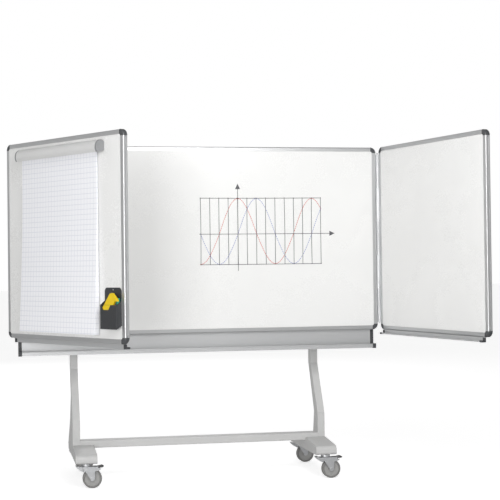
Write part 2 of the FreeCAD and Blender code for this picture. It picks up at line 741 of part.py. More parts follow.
def pedal():
    """Brake pedal on its pin between the fork's ears."""
    z1 = PEDAL_Z + PEDAL_T
    gap = 0.4
    rear = PEDAL_X - 11
    tongue = [
        (rear, PEDAL_Z - 1), (rear, z1 - 3), (rear + 6, z1), (PEDAL_X + 12, z1 + 2),
        (PEDAL_X + 14, PEDAL_Z - 11), (PEDAL_X + 12, PEDAL_Z - 13),
        (PEDAL_X + 4, PEDAL_Z - 6), (PEDAL_X - 5, PEDAL_Z - 6),
    ]
    body = xz_prism(tongue, -ARM_IN + gap, ARM_IN - gap)
    pad = [
        (PEDAL_X + 10, z1 + 2), (PEDAL_TIP - 8, z1 + 6), (PEDAL_TIP, z1 + 3),
        (PEDAL_TIP - 7, PEDAL_Z + 3.5), (PEDAL_X + 10, PEDAL_Z + 2.5),
    ]
    body = body.fuse(xz_prism(pad, -ARM_OUT, ARM_OUT)).removeSplitter()
    return body.cut(
        cyl(PEDAL_PIN_R + AXLE_FIT, 2 * ARM_OUT, (PEDAL_X, -ARM_OUT, PEDAL_Z), (0, 1, 0))
    )


# ---- pieces on the left wing's outer side, built with the wing flat open -------
def on_wing(s, t, z):
    """Point at distance s from the hinge axis and t out of the outer sheet."""
    return Vector(-AXIS_X - s, PANEL_BACK + t, z)


def wing_box(s0, s1, t0, t1, z0, z1):
    """Box in the left wing's own distances."""
    return box(-AXIS_X - s1, -AXIS_X - s0, PANEL_BACK + t0, PANEL_BACK + t1, z0, z1)


def wing_cyl(radius, s, t, z, length):
    """Cylinder that stands out of the left wing's outer side."""
    return Part.makeCylinder(radius, length, on_wing(s, t, z), Vector(0, 1, 0))


def clamp_solid(s0, s1, inset):
    """The clamp's rounded section between two distances, optionally inset."""
    d = CLAMP_D
    h = CLAMP_H

    def place(t, drop):
        return on_wing(s0, t, CLAMP_TOP - drop)

    face = outline([
        ((0, 0.15 * h), (0.15 * d, 0.04 * h), (0.43 * d, 0)),
        ((0.43 * d, 0), (0.82 * d, 0.16 * h), (d, 0.53 * h)),
        ((d, 0.53 * h), (d, 0.78 * h), (0.86 * d, h)),
        ((0.86 * d, h), (0, 0.87 * h)),
        ((0, 0.87 * h), (0, 0.15 * h)),
    ], place)
    if inset:
        face = face.makeOffset2D(-inset)
    return face.extrude(Vector(s0 - s1, 0, 0))


def clamp_axle(s, length, radius):
    """Cylinder along the clamp cover's hinge axis."""
    base = on_wing(s, 0.36 * CLAMP_D, CLAMP_TOP - 0.1 * CLAMP_H)
    return Part.makeCylinder(radius, length, base, Vector(-1, 0, 0))


CLAMP_IN = CLAMP_S + CLAMP_CAP_L
CLAMP_OUT = CLAMP_S + CLAMP_L - CLAMP_CAP_L
PAD_T0 = CLAMP_BASE_T + PAD_GAP
PAD_T1 = PAD_T0 + PAD_T
PEG_Z = CLAMP_TOP - PEG_DROP
PAD_TOP = CLAMP_TOP - PAD_TOP_DROP


def clamp_shell():
    """Hollow wall of the clamp's section between its end caps."""
    solid = clamp_solid(CLAMP_IN, CLAMP_OUT, 0.0)
    return solid.cut(clamp_solid(CLAMP_IN, CLAMP_OUT, CLAMP_SHELL))


def clamp_base():
    """Back plate with the fixed part of the clamp's top."""
    plate = wing_box(
        CLAMP_IN, CLAMP_OUT, 0, CLAMP_BASE_T, CLAMP_TOP - 0.86 * CLAMP_H,
        CLAMP_TOP - 0.16 * CLAMP_H,
    )
    crown = clamp_shell().common(
        wing_box(CLAMP_IN, CLAMP_OUT, 0, 0.2 * CLAMP_D, CLAMP_TOP - 0.4 * CLAMP_H, CLAMP_TOP)
    )
    return plate.fuse(crown).removeSplitter()


def clamp_cover():
    """Curved cover with a bead along its top and a pivot at each end."""
    gap = PAD_GAP
    front = wing_box(
        CLAMP_IN, CLAMP_OUT, PAD_T1 + gap, CLAMP_D + 5, CLAMP_TOP - CLAMP_H - 5, CLAMP_TOP + 5
    )
    cover = clamp_shell().common(front)
    cover = cover.fuse(clamp_axle(CLAMP_IN, CLAMP_OUT - CLAMP_IN, CLAMP_BEAD_R))
    ends = wing_box(
        CLAMP_IN + gap, CLAMP_OUT - gap, -1, CLAMP_D + 6, CLAMP_TOP - CLAMP_H - 6, CLAMP_TOP + 6
    )
    cover = cover.common(ends)
    reach = CLAMP_OUT - CLAMP_IN + 16
    return cover.fuse(clamp_axle(CLAMP_IN - 8, reach, CLAMP_AXLE_R)).removeSplitter()


def clamp_ends():
    """The two plastic ends of the clamp, slotted for the pad and its cover's pivots."""
    ends = []
    for s0 in (CLAMP_S, CLAMP_OUT):
        end = clamp_solid(s0, s0 + CLAMP_CAP_L, 0.0)
        outer = CLAMP_S if s0 == CLAMP_S else CLAMP_S + CLAMP_L
        rim = [e for e in end.Edges if abs(e.CenterOfMass.x + AXIS_X + outer) < 0.01]
        end = end.makeFillet(2.5, [e for e in rim if e.CenterOfMass.y > PANEL_BACK + 1])
        slot = wing_box(
            PAD_S - 1, PAD_S + PAD_W + 1, CLAMP_BASE_T, PAD_T1 + PAD_GAP,
            CLAMP_TOP - CLAMP_H - 1, PAD_TOP + 1,
        )
        ends.append(end.cut(slot).cut(
            clamp_axle(CLAMP_IN - 9, CLAMP_OUT - CLAMP_IN + 18, CLAMP_AXLE_R + PIN_FIT)
        ))
    return group(ends)


def peg_places():
    """Distances of the two pegs from the hinge axis."""
    mid = PAD_S + PAD_W / 2
    return [mid - PEG_PITCH / 2, mid + PEG_PITCH / 2]


def pegs():
    """Pegs that stand on the clamp's back plate and carry the pad."""
    found = []
    for s in peg_places():
        peg = wing_cyl(PEG_R, s, CLAMP_BASE_T, PEG_Z, PAD_T + 4)
        found.append(peg.makeChamfer(1.2, [e for e in peg.Edges if e.CenterOfMass.y > PANEL_BACK + PAD_T]))
    return group(found)


def pad():
    """Pad of paper, holed for the pegs."""
    sheets = wing_box(PAD_S, PAD_S + PAD_W, PAD_T0, PAD_T1, PAD_TOP - PAD_H, PAD_TOP)
    for s in peg_places():
        sheets = sheets.cut(wing_cyl(PEG_R + PEG_HOLE_FIT, s, 0, PEG_Z, PAD_T1 + 2))
    return sheets


HOLD_IN_S0 = HOLD_S + HOLD_WALL
HOLD_IN_S1 = HOLD_S + HOLD_W - HOLD_WALL
HOLD_IN_T1 = HOLD_D - HOLD_WALL
FLOOR_Z = HOLD_Z + HOLD_BOTTOM_RISE + HOLD_FLOOR


def pen_holder():
    """Box on a back plate with rounded top corners and a dip in its front wall."""
    plate = wing_box(HOLD_S, HOLD_S + HOLD_W, 0, HOLD_PLATE, HOLD_Z, HOLD_Z + HOLD_H)
    top = [
        e for e in plate.Edges
        if e.CenterOfMass.z > HOLD_Z + HOLD_H - 0.01
        and abs(e.Vertexes[0].Y - e.Vertexes[1].Y) > 1
    ]
    plate = plate.makeFillet(HOLD_TOP_R, top)
    eye_z = HOLD_Z + HOLD_H - HOLD_EYE_R * 2.5
    plate = plate.cut(wing_cyl(HOLD_EYE_R, HOLD_S + HOLD_W / 2, -1, eye_z, HOLD_PLATE + 2))
    side = [
        (0, HOLD_Z + HOLD_BOTTOM_RISE), (HOLD_D, HOLD_Z), (HOLD_D, HOLD_Z + HOLD_BOX_H),
        (HOLD_PLATE, HOLD_Z + HOLD_BOX_H + HOLD_SIDE_RISE),
        (0, HOLD_Z + HOLD_BOX_H + HOLD_SIDE_RISE),
    ]
    body = prism([tuple(on_wing(HOLD_S, t, z)) for t, z in side], (-HOLD_W, 0, 0))
    front = [
        e for e in body.Edges
        if e.CenterOfMass.y > PANEL_BACK + HOLD_D - 0.01
        and abs(e.Vertexes[0].Z - e.Vertexes[-1].Z) > 1
    ]
    body = body.makeFillet(2.0, front)
    low = wing_box(HOLD_S, HOLD_S + HOLD_W, 0, HOLD_PLATE, HOLD_Z - 1, FLOOR_Z)
    body = body.fuse(plate.cut(low)).removeSplitter()
    top_z = HOLD_Z + HOLD_BOX_H + HOLD_SIDE_RISE + 1
    body = body.cut(wing_box(HOLD_IN_S0, HOLD_IN_S1, HOLD_PLATE, HOLD_IN_T1, FLOOR_Z, top_z))
    s0 = HOLD_S + NOTCH_S
    s1 = s0 + NOTCH_W
    z1 = HOLD_Z + HOLD_BOX_H
    dip = [
        (s0, z1 + 1), (s0, z1), (s0 + NOTCH_SLOPE, z1 - NOTCH_D),
        (s1 - NOTCH_SLOPE, z1 - NOTCH_D), (s1, z1), (s1, z1 + 1),
    ]
    pts = [tuple(on_wing(s, HOLD_IN_T1 - 1, z)) for s, z in dip]
    return body.cut(prism(pts, (0, HOLD_WALL + 3, 0)))


ERASER_S0 = HOLD_IN_S0 + ITEM_FIT + 3
ERASER_T1 = HOLD_IN_T1 - ITEM_FIT
ERASER_T0 = ERASER_T1 - ERASER_T


def eraser_body():
    """Wiper's grip: a leaning bar with a hooked head, its foot on the floor of the box."""
    pts = [
        tuple(on_wing(ERASER_S0 + u * ERASER_W, ERASER_T0, FLOOR_Z + v * ERASER_H))
        for u, v in ERASER_SHAPE
    ]
    body = prism(pts, (0, ERASER_T, 0))
    rim = [e for e in body.Edges if abs(e.CenterOfMass.y - PANEL_BACK - ERASER_T1) < 0.01]
    return body.makeFillet(1.0, rim)


def eraser_felt():
    """Felt on the back of the grip."""
    s0 = ERASER_S0 + FELT_IN
    z0 = FLOOR_Z + FELT_EDGE
    return wing_box(s0, s0 + FELT_W, ERASER_T0 - FELT_T, ERASER_T0, z0, z0 + FELT_H)


def marker_s(index):
    """Distance of a marker's middle from the hinge axis, counted from the free side."""
    return HOLD_IN_S1 - ITEM_FIT - MARKER_R - 1 - index * (2 * MARKER_R + MARKER_GAP)


def marker(index):
    """Barrel with its neck and writing tip."""
    s = marker_s(index)
    t = HOLD_PLATE + ITEM_FIT + MARKER_R
    barrel_l = MARKER_L - MARKER_CAP_L
    at = on_wing(s, t, FLOOR_Z)
    up = Vector(0, 0, 1)
    neck_r = MARKER_R - MARKER_CAP_WALL - MARKER_CAP_FIT
    barrel = Part.makeCylinder(MARKER_R, barrel_l, at, up)
    barrel = barrel.makeFillet(1.0, [e for e in barrel.Edges if e.Closed])
    neck_at = at + Vector(0, 0, barrel_l)
    tip_at = neck_at + Vector(0, 0, MARKER_NECK_L)
    neck = Part.makeCone(neck_r, MARKER_TIP_R * 1.6, MARKER_NECK_L, neck_at, up)
    tip = Part.makeCylinder(MARKER_TIP_R, MARKER_TIP_L, tip_at, up)
    return barrel.fuse([neck, tip])


def marker_cap(index):
    """Cap over the marker's neck."""
    s = marker_s(index)
    t = HOLD_PLATE + ITEM_FIT + MARKER_R
    z0 = FLOOR_Z + MARKER_L - MARKER_CAP_L + 0.2
    up = Vector(0, 0, 1)
    length = MARKER_CAP_L - 0.2
    body = Part.makeCylinder(MARKER_R, length, on_wing(s, t, z0), up)
    body = body.makeFillet(1.2, [e for e in body.Edges if e.CenterOfMass.z > z0 + length - 0.1])
    cavity = Part.makeCylinder(
        MARKER_R - MARKER_CAP_WALL, length - 2.5, on_wing(s, t, z0 - 0.1), up
    )
    return body.cut(cavity)


# ---- whole object --------------------------------------------------------------
def wing_nodes(name):
    """Board, tray and hinge leaf of a wing on the +X side, flat open."""
    pieces = board(WING_W, BOARD_H)
    x = AXIS_X + HINGE_GAP / 2
    nodes = {f"{name}_{k}": moved(v, x, 0, BOARD_Z) for k, v in pieces.items()}
    ends = (WTRAY_INSET, WING_W - WTRAY_INSET)
    nodes[f"{name}_tray"] = moved(tray(*ends, WING_TRAY), x, 0, BOARD_Z)
    nodes[f"{name}_tray_caps"] = moved(tray_caps(*ends, WING_TRAY), x, 0, BOARD_Z)
    nodes[f"{name}_hinge_leaf"] = leaf(1, range(1, KNUCKLES, 2))
    return nodes


def centre_nodes():
    """Centre board with its tray and the fixed halves of both hinges."""
    pieces = board(BOARD_W, BOARD_H)
    x = -BOARD_W / 2
    nodes = {f"centre_{k}": moved(v, x, 0, BOARD_Z) for k, v in pieces.items()}
    ends = (TRAY_INSET, BOARD_W - TRAY_INSET)
    nodes["centre_tray"] = moved(tray(*ends, CENTRE_TRAY), x, 0, BOARD_Z)
    nodes["centre_tray_caps"] = moved(tray_caps(*ends, CENTRE_TRAY), x, 0, BOARD_Z)
    right = leaf(-1, range(0, KNUCKLES, 2))
    nodes["centre_hinge_leaves"] = group([right, mirrored(right)])
    nodes["hinge_pins"] = group([hinge_pin(), mirrored(hinge_pin())])
    for z in bolt_heights():
        for x in (-bracket_x(), bracket_x()):
            hole = cyl(
                BOLT_R + BOLT_FIT, BOLT_L, (x, PANEL_BACK + BRACKET_PLATE, z), (0, -1, 0)
            )
            for name in ("centre_core", "centre_sheets"):
                nodes[name] = nodes[name].cut(hole)
    return nodes


def stand_nodes():
    """Feet, columns, beam, brackets, bolts and the casters' fixed heads."""
    heads = [
        moved(caster_head(), x, y, 0)
        for x in (-CASTER_X, CASTER_X) for y in CASTER_Y
    ]
    nuts = [stem_nut(y) for y in CASTER_Y]
    fixings = bolts() + nuts
    brackets = [bracket(z) for z in BRACKET_Z]
    return {
        "foot_right": foot(),
        "foot_left": mirrored(foot()),
        "column_right": column(),
        "column_left": mirrored(column()),
        "column_caps": group([column_cap(), mirrored(column_cap())]),
        "cross_beam": beam(),
        "board_brackets": group(brackets + [mirrored(b) for b in brackets]),
        "stand_fasteners": group(fixings + [mirrored(f) for f in fixings]),
        "caster_heads": group(heads),
    }


def caster_nodes():
    """Fork, wheel, tyre and pedal of each caster."""
    places = {
        "fl": (-CASTER_X, CASTER_Y[0]), "fr": (CASTER_X, CASTER_Y[0]),
        "rl": (-CASTER_X, CASTER_Y[1]), "rr": (CASTER_X, CASTER_Y[1]),
    }
    made = {"fork": fork(), "wheel": wheel(), "tyre": tyre(), "pedal": pedal()}
    return {
        f"{name}_{key}": moved(shape, x, y, 0)
        for key, (x, y) in places.items() for name, shape in made.items()
    }


def accessory_nodes():
    """What hangs on the left wing's outer side."""
    return {
        "clamp_base": clamp_base(),
        "clamp_cover": clamp_cover(),
        "clamp_ends": clamp_ends(),
        "clamp_pegs": pegs(),
        "flipchart_pad": pad(),
        "pen_holder": pen_holder(),
        "eraser_body": eraser_body(),
        "eraser_felt": eraser_felt(),
        "marker_green": marker(0),
        "marker_green_cap": marker_cap(0),
        "marker_black": marker(1),
        "marker_black_cap": marker_cap(1),
    }


def all_nodes():
    """Every node in the pose the whiteboard stands in."""
    nodes = {}
    nodes.update(stand_nodes())
    nodes.update(caster_nodes())
    nodes.update(centre_nodes())
    pin = (AXIS_X, -HINGE_Y, 0)
    for name, shape in wing_nodes("right").items():
        nodes[name] = turned(shape, pin, OPEN_RIGHT - 180)
    left = {k: mirrored(v) for k, v in wing_nodes("left").items()}
    left.update(accessory_nodes())
    pin = (-AXIS_X, -HINGE_Y, 0)
    for name, shape in left.items():
        nodes[name] = turned(shape, pin, 180 - OPEN_LEFT)
    return nodes


def main():
    """Write one STEP file for each node."""
    os.makedirs("parts", exist_ok=True)
    for name, shape in all_nodes().items():
        if not shape.isValid() or not shape.Solids:
            raise ValueError(f"{name} isn't a valid solid")
        shape.exportStep(f"parts/{name}.step")


main()
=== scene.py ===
"""Looks of a rolling whiteboard with two hinged wings, built round its CAD frame."""

from __future__ import annotations

import json
import logging
import math
import random
from dataclasses import dataclass, field
from enum import Enum
from typing import Sequence

import bmesh
import bpy
from mathutils import Matrix, Vector

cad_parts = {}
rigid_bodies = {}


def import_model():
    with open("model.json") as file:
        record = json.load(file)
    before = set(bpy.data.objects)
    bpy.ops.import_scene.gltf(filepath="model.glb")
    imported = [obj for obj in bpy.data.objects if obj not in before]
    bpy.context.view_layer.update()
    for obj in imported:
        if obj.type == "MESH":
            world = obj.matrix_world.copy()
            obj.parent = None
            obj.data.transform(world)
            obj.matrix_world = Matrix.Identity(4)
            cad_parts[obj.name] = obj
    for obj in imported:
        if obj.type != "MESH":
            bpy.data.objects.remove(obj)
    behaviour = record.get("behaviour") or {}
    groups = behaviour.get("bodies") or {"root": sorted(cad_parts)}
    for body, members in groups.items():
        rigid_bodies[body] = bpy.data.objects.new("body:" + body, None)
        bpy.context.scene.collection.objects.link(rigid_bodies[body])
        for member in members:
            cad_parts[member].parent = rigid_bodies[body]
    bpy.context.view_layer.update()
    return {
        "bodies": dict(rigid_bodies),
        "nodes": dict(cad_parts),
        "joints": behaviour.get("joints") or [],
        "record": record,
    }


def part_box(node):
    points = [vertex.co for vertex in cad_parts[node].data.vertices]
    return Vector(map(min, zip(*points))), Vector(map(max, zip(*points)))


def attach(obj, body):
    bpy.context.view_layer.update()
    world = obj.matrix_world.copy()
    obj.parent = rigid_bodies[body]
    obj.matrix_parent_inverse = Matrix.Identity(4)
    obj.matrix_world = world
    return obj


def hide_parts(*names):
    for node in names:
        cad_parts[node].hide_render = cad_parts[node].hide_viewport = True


LOG = logging.getLogger("whiteboard")
MM = 0.001
Colour = tuple[float, float, float]


# ---- shader groups -------------------------------------------------------------


class GroupKit:
    """Small helper that builds a node group with named sockets."""

    def __init__(self, name: str, kind: str) -> None:
        """Starts an empty group.

        Args:
            name: The group's name.
            kind: ShaderNodeTree or GeometryNodeTree.
        """
        self.tree = bpy.data.node_groups.new(name, kind)
        self.ids: dict[str, str] = {}
        self.source = self.tree.nodes.new("NodeGroupInput")
        self.sink = self.tree.nodes.new("NodeGroupOutput")

    def takes(self, name: str, kind: str, default: object = None) -> None:
        """Adds an input socket.

        Args:
            name: The socket's name.
            kind: The socket's type.
            default: Its value when nothing is linked.
        """
        item = self.tree.interface.new_socket(name=name, in_out="INPUT", socket_type=kind)
        if default is not None:
            item.default_value = default
        self.ids[name] = item.identifier

    def gives(self, name: str, kind: str) -> None:
        """Adds an output socket."""
        self.tree.interface.new_socket(name=name, in_out="OUTPUT", socket_type=kind)

    def node(self, kind: str, **settings: object) -> bpy.types.Node:
        """Adds a node.

        Args:
            kind: The node's type name.
            settings: Properties set on the node.

        Returns:
            The new node.
        """
        made = self.tree.nodes.new(kind)
        for key, value in settings.items():
            setattr(made, key, value)
        return made

    def link(self, start: bpy.types.NodeSocket, end: bpy.types.NodeSocket) -> None:
        """Joins an output to an input."""
        self.tree.links.new(start, end)


def grain_group() -> bpy.types.NodeTree:
    """Fine grain: a blotch mask, a roughness between two limits and a bumped normal.

    Returns:
        The shader group.
    """
    kit = GroupKit("surface_grain", "ShaderNodeTree")
    kit.takes("Vector", "NodeSocketVector")
    kit.takes("Blotch Scale", "NodeSocketFloat", 6.0)
    kit.takes("Grain Scale", "NodeSocketFloat", 900.0)
    kit.takes("Smooth", "NodeSocketFloat", 0.3)
    kit.takes("Rough", "NodeSocketFloat", 0.5)
    kit.takes("Bump", "NodeSocketFloat", 0.1)
    kit.gives("Mask", "NodeSocketFloat")
    kit.gives("Roughness", "NodeSocketFloat")
    kit.gives("Normal", "NodeSocketVector")
    blotch = kit.node("ShaderNodeTexNoise")
    blotch.inputs["Detail"].default_value = 4.0
    grain = kit.node("ShaderNodeTexNoise")
    grain.inputs["Detail"].default_value = 2.0
    both = kit.node("ShaderNodeMath", operation="MULTIPLY_ADD")
    both.inputs[1].default_value = 0.35
    spread = kit.node("ShaderNodeMapRange")
    spread.inputs["From Min"].default_value = 0.45
    spread.inputs["From Max"].default_value = 0.9
    bump = kit.node("ShaderNodeBump")
    bump.inputs["Distance"].default_value = 0.0004
    for texture, scale in ((blotch, "Blotch Scale"), (grain, "Grain Scale")):
        kit.link(kit.source.outputs["Vector"], texture.inputs["Vector"])
        kit.link(kit.source.outputs[scale], texture.inputs["Scale"])
    kit.link(grain.outputs[0], both.inputs[0])
    kit.link(blotch.outputs[0], both.inputs[2])
    kit.link(both.outputs[0], spread.inputs["Value"])
    kit.link(kit.source.outputs["Smooth"], spread.inputs["To Min"])
    kit.link(kit.source.outputs["Rough"], spread.inputs["To Max"])
    kit.link(grain.outputs[0], bump.inputs["Height"])
    kit.link(kit.source.outputs["Bump"], bump.inputs["Strength"])
    kit.link(blotch.outputs[0], kit.sink.inputs["Mask"])
    kit.link(spread.outputs[0], kit.sink.inputs["Roughness"])
    kit.link(bump.outputs[0], kit.sink.inputs["Normal"])
    return kit.tree


def soil_group() -> bpy.types.NodeTree:
    """Dust that gathers towards the floor, broken up by noise.

    Returns:
        The shader group.
    """
    kit = GroupKit("floor_soil", "ShaderNodeTree")
    kit.takes("Vector", "NodeSocketVector")
    kit.takes("Clean Height", "NodeSocketFloat", 0.25)
    kit.takes("Amount", "NodeSocketFloat", 0.3)
    kit.gives("Mask", "NodeSocketFloat")
    split = kit.node("ShaderNodeSeparateXYZ")
    fade = kit.node("ShaderNodeMapRange")
    fade.inputs["To Min"].default_value = 1.0
    fade.inputs["To Max"].default_value = 0.0
    noise = kit.node("ShaderNodeTexNoise")
    noise.inputs["Scale"].default_value = 45.0
    noise.inputs["Detail"].default_value = 5.0
    broken = kit.node("ShaderNodeMath", operation="MULTIPLY")
    amount = kit.node("ShaderNodeMath", operation="MULTIPLY")
    kit.link(kit.source.outputs["Vector"], split.inputs[0])
    kit.link(kit.source.outputs["Vector"], noise.inputs["Vector"])
    kit.link(split.outputs["Z"], fade.inputs["Value"])
    kit.link(kit.source.outputs["Clean Height"], fade.inputs["From Max"])
    kit.link(fade.outputs[0], broken.inputs[0])
    kit.link(noise.outputs[0], broken.inputs[1])
    kit.link(broken.outputs[0], amount.inputs[0])
    kit.link(kit.source.outputs["Amount"], amount.inputs[1])
    kit.link(amount.outputs[0], kit.sink.inputs["Mask"])
    return kit.tree


def ruling_group() -> bpy.types.NodeTree:
    """Ruled squares printed on paper: 1 on a line, 0 between lines.

    Returns:
        The shader group.
    """
    kit = GroupKit("ruled_squares", "ShaderNodeTree")
    kit.takes("Vector", "NodeSocketVector")
    kit.takes("Pitch", "NodeSocketFloat", 0.025)
    kit.takes("Line", "NodeSocketFloat", 0.0012)
    kit.gives("Mask", "NodeSocketFloat")
    split = kit.node("ShaderNodeSeparateXYZ")
    kit.link(kit.source.outputs["Vector"], split.inputs[0])
    found = []
    for axis in ("X", "Z"):
        wrap = kit.node("ShaderNodeMath", operation="PINGPONG")
        half = kit.node("ShaderNodeMath", operation="MULTIPLY")
        half.inputs[1].default_value = 0.5
        kit.link(kit.source.outputs["Pitch"], half.inputs[0])
        kit.link(split.outputs[axis], wrap.inputs[0])
        kit.link(half.outputs[0], wrap.inputs[1])
        near = kit.node("ShaderNodeMath", operation="LESS_THAN")
        kit.link(wrap.outputs[0], near.inputs[0])
        kit.link(kit.source.outputs["Line"], near.inputs[1])
        found.append(near)
    either = kit.node("ShaderNodeMath", operation="MAXIMUM")
    kit.link(found[0].outputs[0], either.inputs[0])
    kit.link(found[1].outputs[0], either.inputs[1])
    kit.link(either.outputs[0], kit.sink.inputs["Mask"])
    return kit.tree


class ShaderGroups:
    """The shader groups, each built once."""

    def __init__(self) -> None:
        """Builds the groups."""
        self.grain = grain_group()
        self.soil = soil_group()
        self.ruling = ruling_group()


# ---- finishes --------------------------------------------------------------------


@dataclass(frozen=True)
class Finish:
    """One surface finish, from its colours to its grain."""

    name: str
    light: Colour
    dark: Colour
    smooth: float = 0.35
    rough: float = 0.5
    metallic: float = 0.0
    blotch: float = 6.0
    grain: float = 900.0
    bump: float = 0.1
    stretch: tuple[float, float, float] = (1.0, 1.0, 1.0)
    coat: float = 0.0
    soil: float = 0.0
    ruled: bool = False
    sheen: float = 0.0
    glow: float = 0.0

    def build(self, groups: ShaderGroups, turn: float = 0.0) -> bpy.types.Material:
        """Builds the finish as a material.

        Args:
            groups: The shared shader groups.
            turn: Angle in degrees of the surface about the upright axis.

        Returns:
            The material.
        """
        made = bpy.data.materials.new(f"{self.name}_{int(turn)}" if turn else self.name)
        made.use_nodes = True
        tree = made.node_tree
        shader = tree.nodes["Principled BSDF"]
        shader.inputs["Metallic"].default_value = self.metallic
        shader.inputs["Coat Weight"].default_value = self.coat
        shader.inputs["Coat Roughness"].default_value = 0.12
        shader.inputs["Sheen Weight"].default_value = self.sheen
        shader.inputs["Emission Color"].default_value = (1.0, 1.0, 1.0, 1.0)
        shader.inputs["Emission Strength"].default_value = self.glow
        place = tree.nodes.new("ShaderNodeTexCoord")
        turned = tree.nodes.new("ShaderNodeMapping")
        turned.vector_type = "TEXTURE"
        turned.inputs["Rotation"].default_value = (0.0, 0.0, math.radians(turn))
        tree.links.new(place.outputs["Object"], turned.inputs["Vector"])
        drawn = tree.nodes.new("ShaderNodeMapping")
        drawn.inputs["Scale"].default_value = self.stretch
        tree.links.new(turned.outputs[0], drawn.inputs["Vector"])
        grain = tree.nodes.new("ShaderNodeGroup")
        grain.node_tree = groups.grain
        grain.inputs["Blotch Scale"].default_value = self.blotch
        grain.inputs["Grain Scale"].default_value = self.grain
        grain.inputs["Smooth"].default_value = self.smooth
        grain.inputs["Rough"].default_value = self.rough
        grain.inputs["Bump"].default_value = self.bump
        tree.links.new(drawn.outputs[0], grain.inputs["Vector"])
        colour = self._mixed(tree, grain.outputs["Mask"], self.light, self.dark)
        if self.ruled:
            colour = self._ruled(tree, groups, turned.outputs[0], colour)
        if self.soil:
            colour = self._soiled(tree, groups, place.outputs["Object"], colour)
        tree.links.new(colour, shader.inputs["Base Color"])
        tree.links.new(grain.outputs["Roughness"], shader.inputs["Roughness"])
        tree.links.new(grain.outputs["Normal"], shader.inputs["Normal"])
        return made

    @staticmethod
    def _mixed(
        tree: bpy.types.NodeTree,
        mask: bpy.types.NodeSocket,
        first: object,
        second: Colour,
    ) -> bpy.types.NodeSocket:
        """Mixes two colours by a mask.

        Args:
            tree: The material's tree.
            mask: 0 gives the first colour, 1 the second.
            first: A colour, or a socket that gives one.
            second: The other colour.

        Returns:
            The socket that gives the mixed colour.
        """
        mix = tree.nodes.new("ShaderNodeMix")
        mix.data_type = "RGBA"
        tree.links.new(mask, mix.inputs[0])
        if isinstance(first, bpy.types.NodeSocket):
            tree.links.new(first, mix.inputs[6])
        else:
            mix.inputs[6].default_value = (*first, 1.0)
        mix.inputs[7].default_value = (*second, 1.0)
        return mix.outputs[2]

    def _ruled(
        self,
        tree: bpy.types.NodeTree,
        groups: ShaderGroups,
        place: bpy.types.NodeSocket,
        colour: bpy.types.NodeSocket,
    ) -> bpy.types.NodeSocket:
        """Prints pale squares over a colour.

        Args:
            tree: The material's tree.
            groups: The shared shader groups.
            place: The surface's own coordinates.
            colour: The colour under the print.

        Returns:
            The socket that gives the printed colour.
        """
        lines = tree.nodes.new("ShaderNodeGroup")
        lines.node_tree = groups.ruling
        tree.links.new(place, lines.inputs["Vector"])
        return self._mixed(tree, lines.outputs["Mask"], colour, (0.73, 0.745, 0.80))

    def _soiled(
        self,
        tree: bpy.types.NodeTree,
        groups: ShaderGroups,
        place: bpy.types.NodeSocket,
        colour: bpy.types.NodeSocket,
    ) -> bpy.types.NodeSocket:
        """Adds dust towards the floor.

        Args:
            tree: The material's tree.
            groups: The shared shader groups.
            place: Object coordinates.
            colour: The clean colour.

        Returns:
            The socket that gives the soiled colour.
        """
        dust = tree.nodes.new("ShaderNodeGroup")
        dust.node_tree = groups.soil
        dust.inputs["Amount"].default_value = self.soil
        tree.links.new(place, dust.inputs["Vector"])
        return self._mixed(tree, dust.outputs["Mask"], colour, (0.36, 0.34, 0.31))


ENAMEL = Finish(
    "board_enamel", (0.86, 0.86, 0.85), (0.81, 0.81, 0.80), smooth=0.2, rough=0.34,
    blotch=2.2, grain=160.0, bump=0.015, coat=0.25,
)
CORE = Finish(
    "honeycomb_core", (0.45, 0.36, 0.24), (0.32, 0.25, 0.16), 0.7, 0.9, grain=300.0, bump=0.5,
)
FRAME_ALLOY = Finish(
    "frame_anodised", (0.60, 0.605, 0.61), (0.52, 0.525, 0.53), smooth=0.3, rough=0.42,
    metallic=0.85, blotch=3.0, grain=1400.0, bump=0.05, stretch=(0.03, 1.0, 0.03),
)
TRAY_ALLOY = Finish(
    "tray_anodised", (0.60, 0.605, 0.61), (0.52, 0.525, 0.53), smooth=0.36, rough=0.48,
    metallic=0.6, blotch=3.0, grain=1200.0, bump=0.05, stretch=(0.02, 1.0, 1.0),
)
HINGE_ALLOY = Finish(
    "hinge_alloy", (0.78, 0.79, 0.80), (0.68, 0.69, 0.70), smooth=0.25, rough=0.4,
    metallic=0.9, blotch=12.0, grain=1500.0, bump=0.05, stretch=(1.0, 1.0, 0.05),
)
CLAMP_ALLOY = Finish(
    "clamp_anodised", (0.80, 0.80, 0.795), (0.74, 0.74, 0.735), smooth=0.34, rough=0.46,
    metallic=0.25, blotch=4.0, grain=1300.0, bump=0.05, stretch=(0.02, 1.0, 1.0),
)
CORNER_PLASTIC = Finish(
    "corner_plastic", (0.045, 0.048, 0.052), (0.085, 0.088, 0.092), 0.38, 0.55,
    blotch=30.0, grain=2600.0, bump=0.25,
)
CAP_PLASTIC = Finish(
    "tray_cap_plastic", (0.035, 0.037, 0.041), (0.07, 0.072, 0.077), 0.4, 0.58,
    blotch=30.0, grain=2600.0, bump=0.25,
)
CLAMP_PLASTIC = Finish(
    "clamp_end_plastic", (0.27, 0.275, 0.28), (0.22, 0.225, 0.23), 0.34, 0.5,
    blotch=20.0, grain=2200.0, bump=0.15,
)
POWDER_COAT = Finish(
    "powder_coat", (0.60, 0.60, 0.595), (0.55, 0.55, 0.545), 0.38, 0.52,
    blotch=5.0, grain=1100.0, bump=0.22, soil=0.25,
)
COLUMN_CAP = Finish(
    "column_cap_plastic", (0.40, 0.40, 0.40), (0.34, 0.34, 0.34), 0.42, 0.56,
    blotch=25.0, grain=2000.0, bump=0.2,
)
